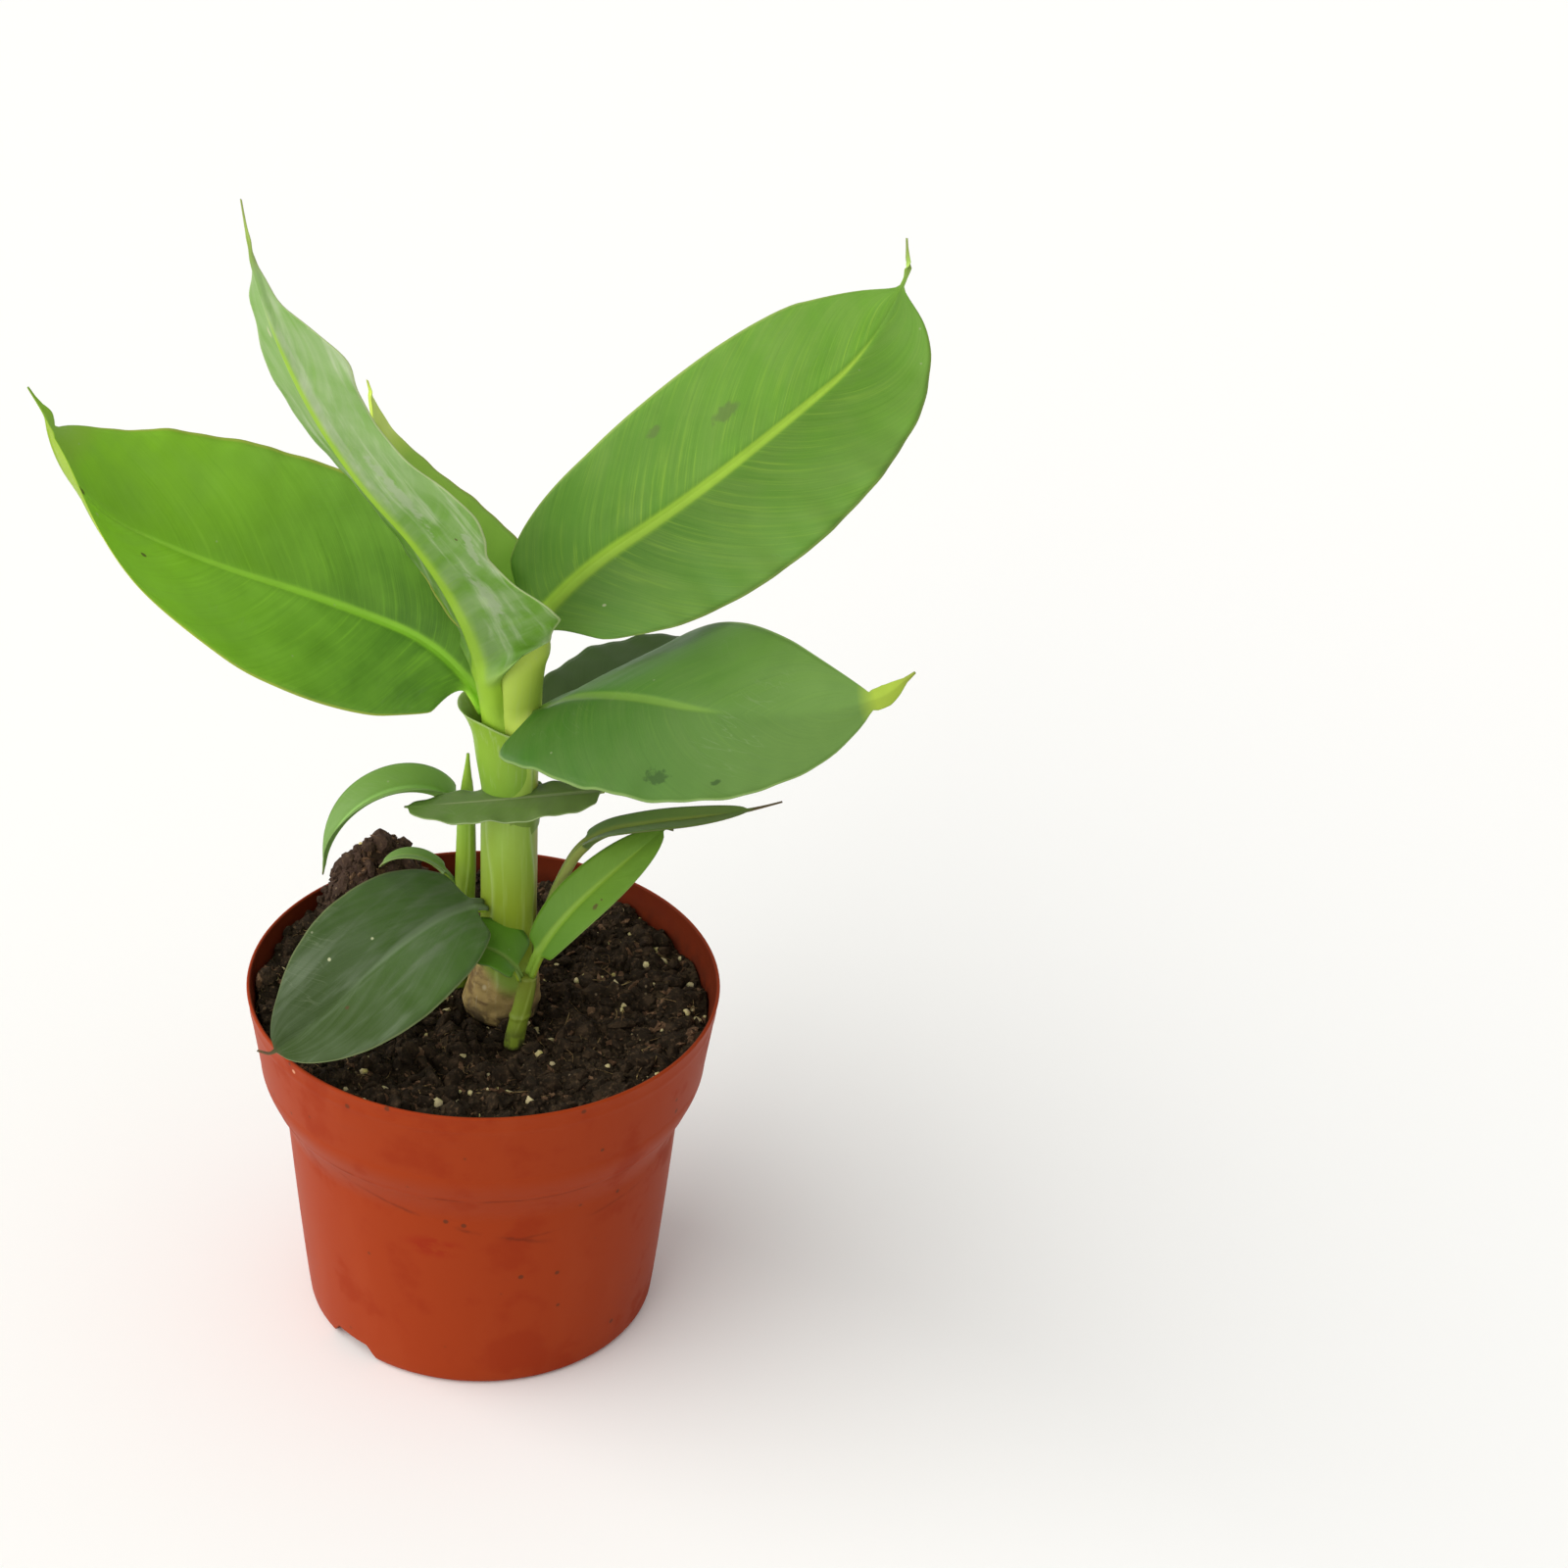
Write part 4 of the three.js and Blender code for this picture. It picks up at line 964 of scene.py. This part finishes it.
        patches=0.35, marks=((0.6, 0.45, 0.7, "brown", 0.8, 1.5), (0.55, 0.5, 0.4, "brown", 0.8, 1))),
    "leaf_small_left": dict(
        slot="dark_leaf", root=(9.3, -14.6, 105.5), azimuth=(166, 179), rise=(74, 44, 17, -1, -14),
        stalk=(3.5, 1.2), blade=21, half=(7.6, 10), roll=(-10, -7), fold=9, curl=-1, widest=0.42, fullness=1,
        blunt=(1, 0.5), tail=(1.5, 180, -12), wave=(0.2, 0.2, 2.5, 0.4), rows=36, columns=10,
        face=((0.085, 0.22, 0.012), (0.085, 0.21, 0.012), (0.12, 0.24, 0.03), (0.17, 0.27, 0.05)),
        margin=(0.14, 0.2, 0.06), tip=((0.1, 0.14, 0.03), 0.98)),
    "leaf_folded": dict(
        slot="dark_leaf", root=(29, 0.8, 152), azimuth=(204, 167), rise=(8, 2, -3, -8, -12),
        stalk=(0.5, 0.8), blade=49, half=(7.4, 6.4), roll=(-10, -6), fold=-7, curl=-3, lobe=(0, 0),
        widest=0.5, fullness=0.9, tail=(1, 167, -12), wave=(0.5, 0.5, 3.5, 0.15), rows=70, columns=12,
        face=((0.13, 0.2, 0.048), (0.095, 0.18, 0.03), (0.14, 0.19, 0.075), (0.22, 0.27, 0.12)),
        under=((0.09, 0.15, 0.035), (0.09, 0.15, 0.035), (0.13, 0.19, 0.07), (0.3, 0.42, 0.03)),
        margin=(0.36, 0.46, 0.2), tip=((0.12, 0.2, 0.04), 1), bloom=0.3,
        marks=((0, -0.02, 1.4, "brown", 0.8, 1),)),
}
# What all blades share. Their pleats follow the side veins, and their billows are broad.
blade = dict(
    thick=0.45, edgeShare=0.6, beakStart=0.95, pleat=0.13, pleatPitch=2.6, billow=0.7,
    billowSize=17, tailRows=16, veinShade=(0.55, 0.62, 0.5), dead=(0.14, 0.085, 0.04),
    dust=(0.45, 0.45, 0.3), scratched=(0.4, 0.45, 0.3),
    # The wax tone is pale waxy bloom and a painted sheen.
    marks=dict(brown=(0.085, 0.045, 0.018), dark=(0.03, 0.075, 0.012), scuff=(0.2, 0.31, 0.085),
               wax=(0.36, 0.44, 0.27), pale=(0.5, 0.52, 0.32)),
)


def heading(azimuth, rise):
    azimuth, rise = radians(azimuth), radians(rise)
    return Vector((cos(azimuth) * cos(rise), sin(azimuth) * cos(rise), sin(rise)))


def ribOf(leaf):
    length = leaf["stalk"][0] + leaf["blade"]
    tailLength, tailAzimuth, tailRise = leaf["tail"]
    steps, tailSteps = 240, 24
    points = [Vector(leaf["root"])]
    for step in range(steps):
        share = (step + 0.5) / steps
        way = heading(lerp(*leaf["azimuth"], share), stepValue(leaf["rise"], share))
        points.append(points[-1] + way * (length / steps))
    tipWay = heading(leaf["azimuth"][1], leaf["rise"][-1])
    tailWay = heading(tailAzimuth, tailRise)
    for step in range(tailSteps):
        way = tipWay.lerp(tailWay, smooth(step, 0, tailSteps / 2)).normalized()
        points.append(points[-1] + way * (tailLength / tailSteps))

    def at(distance):
        spot = clamp(distance, 0, length + tailLength)
        past = steps + (spot - length) / tailLength * tailSteps
        place = spot / length * steps if spot < length else past
        low = min(int(place), len(points) - 2)
        return points[low].lerp(points[low + 1], place - low)

    def rib(distance):
        window = 0.02 * length if distance < length else 0.12 * tailLength
        return at(distance), (at(distance + window) - at(distance - window)).normalized()

    return rib


def bladeOutline(leaf, share, side):
    base = leaf["widest"] * leaf["fullness"] * leaf["blunt"][side]
    tip = (1 - leaf["widest"]) * leaf["fullness"]
    point = 1 - exp((share - 1) / leaf["sharp"]) if leaf["sharp"] else 1
    return point * (share / leaf["widest"]) ** base * ((1 - share) / (1 - leaf["widest"])) ** tip


def leafRow(leaf, rib, distance, columns):
    point, ahead = rib(distance)
    stalkLength, stalkRadius = leaf["stalk"]
    run = (distance - stalkLength) / leaf["blade"]
    share = clamp(run)
    onBlade = smooth(distance - stalkLength, 0, leaf["blade"] * leaf["taper"])
    atBase = (1 - share) ** leaf["baseReach"]
    onTail = clamp((distance - stalkLength - leaf["blade"]) / leaf["tail"][0])
    level = Vector((-ahead.y, ahead.x, 0)).normalized()
    across = Matrix.Rotation(radians(lerp(*leaf["roll"], share)), 3, ahead) @ level
    up = ahead.cross(across)
    ribRadius = lerp(stalkRadius * lerp(1, 0.22, share), 0.3, smooth(onTail, 0, 0.3)) * (1 - 0.55 * onTail)
    beak = stepValue(leaf["tailHalves"], onTail) * smooth(share, blade["beakStart"], 1)
    *depths, rippleCount, rippleStart = leaf["ripple"]
    ripple = sin(2 * pi * (rippleCount * share + rippleStart))
    *waveSizes, waveCount, waveStart = leaf["wave"]
    seed = 40.0 * leaf["seed"]
    over, under = [], []
    for u in columns:
        side = 0 if u < 0 else 1
        a = abs(u)
        spread = bladeOutline(leaf, clamp(share, 1e-4, 1 - 1e-4), side) * onBlade
        swell = sum(size * hump((share - place) / reach)
                    for swelling, place, size, reach in leaf["swells"] if swelling == side)
        half = leaf["half"][side] * (1 + depths[side] * ripple) * (1 + swell)
        width = max(ribRadius + (half - ribRadius) * spread, beak)
        lift = radians(leaf["fold"] + leaf["flare"][side] * atBase + leaf["curl"] * a / 2) * onBlade
        back = leaf["lobe"][side] * a ** leaf["lobePower"] * atBase * min(1, spread / 0.5)
        vein = distance - half * (lerp(*leaf["sweep"], share) * a + 0.15 * a * a) * onBlade
        lean = 2 * pi * (waveCount * share + waveStart + 0.37 * side)
        wave = waveSizes[side] * a ** 3 * spread * (sin(lean) + 0.5 * sin(2.3 * lean + 1))
        ribReach = a * width / max(ribRadius, 0.2)
        offRib = smooth(ribReach, 1.2, 3) * (1 - onTail) * min(1, spread / 0.4)
        pleat = blade["pleat"] * ripples(vein, 0.25 * half * a, seed, blade["pleatPitch"])
        billow = blade["billow"] * ripples(distance, half * u, seed, blade["billowSize"]) * min(1, half / 20)
        thick = blade["thick"] / 2 * lerp(1, blade["edgeShare"], a)
        ridge = sqrt(max(0.0, 1 - (ribReach / 1.15) ** 2))
        stalkRound = sqrt(max(1 - u * u, 0)) * ribRadius
        bladeMix = onBlade * (1 - onTail)
        topHeight = lerp(0.55 * stalkRound * (1 - 0.7 * hump(u / 0.45) * (1 - onTail)),
                         thick - 0.3 * ribRadius * hump(ribReach / 0.75) * (1 - 0.6 * share), bladeMix)
        lowHeight = lerp(stalkRound, thick + 0.8 * ribRadius * ridge, bladeMix)
        base = point - across * (copysign(1, u) * width * a * cos(lift)) - ahead * back
        folds = pleat * (1 - smooth(a, 0.9, 1)) + billow
        base = base + up * (width * a * sin(lift) + wave + folds * offRib)
        mark = (u, run, hump(ribReach / 0.7) * (1 - smooth(share, *leaf["ribFade"])))
        flow = (width * u / 10, distance / 10, vein / 10)
        over.append((base + up * max(topHeight, -lowHeight + 0.12), mark, flow, onTail, 0.0))
        under.append((base - up * lowHeight, mark, flow, onTail, 1.0))
    return over + under[::-1]


def leafPiece(name, node, leaf):
    rib = ribOf(leaf)
    stalk = leaf["stalk"][0]
    stalkRows, rows, tailRows = max(4, int(stalk / 0.9)), leaf["rows"], blade["tailRows"]
    distances = [stalk * row / stalkRows for row in range(stalkRows)]
    distances += [stalk + leaf["blade"] * (row / rows) ** 1.15 for row in range(rows)]
    distances += [stalk + leaf["blade"] + leaf["tail"][0] * row / tailRows for row in range(tailRows + 1)]
    side = [(step / leaf["columns"]) ** 1.6 for step in range(1, leaf["columns"] + 1)]
    columns = [-u for u in reversed(side)] + [0.0] + side
    points = [point for distance in distances for point in leafRow(leaf, rib, distance, columns)]
    vertices, marks, flows, ends, unders = [list(values) for values in zip(*points)]
    faces = loftFaces(len(distances), 2 * len(columns))
    pieceFrom(name, vertices, faces, leaf["slot"], leafMaterial(name + "Blade", leaf), node,
              mark=marks, flow=flows, under=unders, end=ends)


# The colour of a blade: face and underside, pale rib, side veins, waxy bloom with painted sheen, margin
# and tip, and the left half brightened as painted light. The attribute mark is across, along and how near
# to the rib. Flow is across, along and the side vein, in centimetres.
def bladeRule(face, far, streak, rib, under, underFar, underStreak, underRib, margin, tip, underTip,
              tipStart, tipReach, leftTone, patches, veins, bloom, dead, seed):
    tree = seed.tree
    across, along, nearRib = parts(attribute(tree, "mark", "Vector"))
    width, length, vein = parts(attribute(tree, "flow", "Vector"))
    below = attribute(tree, "under")
    away = abs(across)
    onBlade, onVein = joined(width, length, seed), joined(across, vein, seed)
    broad = onBlade.grain(0.8)
    bands = onVein.mapped((0.8, 1.7, 1)).grain(1, 3, 0.55)
    fine = onVein.mapped((1.2, 8.5, 1)).grain(1, 3, 0.6)
    hairs = onVein.mapped((1.6, 24, 1), (3, 0, 0)).grain(1, 2)
    # These streaks along the blade are waxy bloom and a painted sheen.
    wax = onBlade.mapped((2.1, 0.26, 1), (0, 0, 4)).grain(1, 4, 0.6)
    tones = (broad.ramp(0.35, 0.68) * 0.65 + bands.ramp(0.38, 0.66) * 0.45) * patches
    streaks = (tones + wax.ramp(0.47, 0.68) * bloom).maths("MINIMUM", 1)
    paleVein = fine.ramp(0.52, 0.7) * away.ramp(0.05, 0.75, 1, 0.25) * veins
    hairVein = hairs.ramp(0.52, 0.68) * (veins * 0.35)
    darkVein = fine.ramp(0.3, 0.46, 1, 0) * veins

    farOut = along.ramp(0.05, 0.9)
    top = blend(streaks, blend(farOut, face, far), streak)
    low = blend(streaks, blend(farOut, under, underFar), underStreak)
    ribTone = blend(below, rib, underRib)
    onRib = nearRib.ramp(0.1, 0.7)
    onStalk = along.ramp(-0.01, 0.045, 1, 0)
    colour = painted(
        blend(darkVein * 0.6, blend(below, top, low), blade["veinShade"], "MULTIPLY"),
        (paleVein.maths("MAXIMUM", hairVein), ribTone), (onRib * 0.9, ribTone),
        (away.ramp(0.968, 0.992, 0, 0.75) * (1 - onStalk), margin), (onStalk, ribTone),
        (along.ramp(tipStart, tipStart + tipReach, 0, 1, "LINEAR"), blend(below, tip, underTip)),
    )
    # The left half of the blade is brightened here as painted light.
    half = across.ramp(-0.12, 0.12, 1, 0) * (leftTone - 1) + 1
    toned = newField(tree, "ShaderNodeVectorMath", {0: colour, 3: half}, operation="SCALE")
    colour = blend(attribute(tree, "end").ramp(0.5, 0.9) * dead, toned, blade["dead"])
    rough = broad.ramp(0.3, 0.7) * 0.12 + 0.44 + below * 0.08
    return {"colour": colour, "roughness": rough, "height": (fine * 0.7 + bands * 0.5) * (1 - onRib)}


# A mark at one place of a blade: how far across, how far along, and its radius in millimetres
def spotRule(across, along, half, length, radius, long, ragged):
    u, run, _ = parts(attribute(across.tree, "mark", "Vector"))
    off = spanOf((u - across) * half, (run - along) * length / long)
    torn = (placeIn(across.tree).grain(500, 3, 0.6) - 0.5) * ragged
    return {"mask": (off / radius + torn * 3).ramp(0.55, 1.1, 1, 0)}


bladeTones = newGroup(
    "leafFace", bladeRule,
    color="face far streak rib under underFar underStreak underRib margin tip underTip",
    float="tipStart tipReach leftTone patches veins bloom dead seed",
)
bladeSpot = newGroup("leafSpot", spotRule, float="across along half length radius long ragged")


def leafMaterial(name, leaf):
    material, tree = newMaterial(name)
    tip, tipStart = leaf["tip"]
    numbers = [leaf[label] for label in ("tipReach", "leftTone", "patches", "veins", "bloom", "dead", "seed")]
    colour, rough, height = bladeTones(
        tree, *leaf["face"], *leaf["under"], leaf["margin"], tip, leaf["underTip"] or tip, tipStart, *numbers)
    for across, along, radius, tone, ragged, long in leaf["marks"]:
        half = leaf["half"][0 if across < 0 else 1]
        mask = bladeSpot(tree, across, along, half, leaf["blade"], radius, long, ragged)
        # Wax marks, pale bloom and painted sheen, lie on the underside only.
        if tone == "wax":
            mask = mask * attribute(tree, "under")
        colour = blend(mask * 0.8, colour, blade["marks"][tone])
    place = placeIn(tree)
    deeper = [0.7 * part for part in leaf["face"][0]]
    colour = painted(
        colour, (softPatches(tree, place, 70, 0.35, 0.7) * 0.14, deeper),
        (smallDots(tree, place, 330, 0.12, 0.04) * 0.3, blade["dust"]),
        (fineScratches(tree, place, 40, 0.08), blade["scratched"]),
    )
    return fitShader(material, colour, rough, height, 0.00018, 0.5, leaf["gloss"])


def makeCamera():
    lens = bpy.data.cameras.new("camera")
    lens.lens = camera["lens"]
    lens.sensor_width = camera["sensor"]
    lens.sensor_fit = "HORIZONTAL"
    lens.clip_start = 0.01
    lens.clip_end = 50
    eye = linkedObject("camera", lens)
    eye.location = Vector(camera["place"]) * mm
    eye.rotation_euler = Euler([radians(angle) for angle in camera["turn"]])
    bpy.context.scene.camera = eye


def makeFloor():
    floor = studio["floor"]
    half = floor["half"] * mm
    mesh = bpy.data.meshes.new("floor")
    corners = [(x * half, y * half, 0) for x, y in ((-1, -1), (1, -1), (1, 1), (-1, 1))]
    mesh.from_pydata(corners, [], [(0, 1, 2, 3)])
    material, tree = newMaterial("paleFloor")
    fill(tree.nodes["Principled BSDF"], {"Base Color": floor["colour"], "Roughness": floor["roughness"]})
    mesh.materials.append(material)
    linkedObject("floor", mesh)


def makeStudio():
    room, light = studio["room"], studio["sun"]
    world = bpy.data.worlds.new("room")
    world.use_nodes = True
    tree = world.node_tree
    dim = fill(tree.nodes["Background"], {"Color": room["colour"], "Strength": room["strength"]})
    plain = addNode(tree, "ShaderNodeBackground", {"Color": (1, 1, 1), "Strength": room["seen"]})
    seen = newField(tree, "ShaderNodeLightPath", output="Is Camera Ray")
    both = addNode(tree, "ShaderNodeMixShader", {0: seen, 1: Field(dim), 2: Field(plain)})
    fill(tree.nodes["World Output"], {"Surface": Field(both)})
    bpy.context.scene.world = world
    bpy.context.scene.view_settings.view_transform = "Standard"
    lamp = bpy.data.lights.new("sun", "SUN")
    lamp.energy = light["strength"]
    lamp.angle = radians(light["spread"])
    lamp.color = light["colour"]
    holder = linkedObject("sun", lamp)
    holder.rotation_euler = Vector(light["from"]).to_track_quat("Z", "Y").to_euler()


makeCamera()
makeStudio()
makeFloor()
print("camera, lights and floor set")

makePot()
print("pot made")
strewOnSoil(makeSoil())
print("soil made")

makeStem("main_stem")
thinSheath("topSheath", topSheath, True, topSheathPoint)
makeStem("back_sucker_stem")
makeStem("front_sucker_stem")
thinSheath("foldedLeafSheath", hug, False, hugPoint)
print("stems made")

for seed, (node, own) in enumerate(leaves.items(), 1):
    first, *others = node.split("_")
    name = first + "".join(word.capitalize() for word in others)
    leafPiece(name, node, {**usualLeaf, **own, "seed": seed})
print("leaves made")
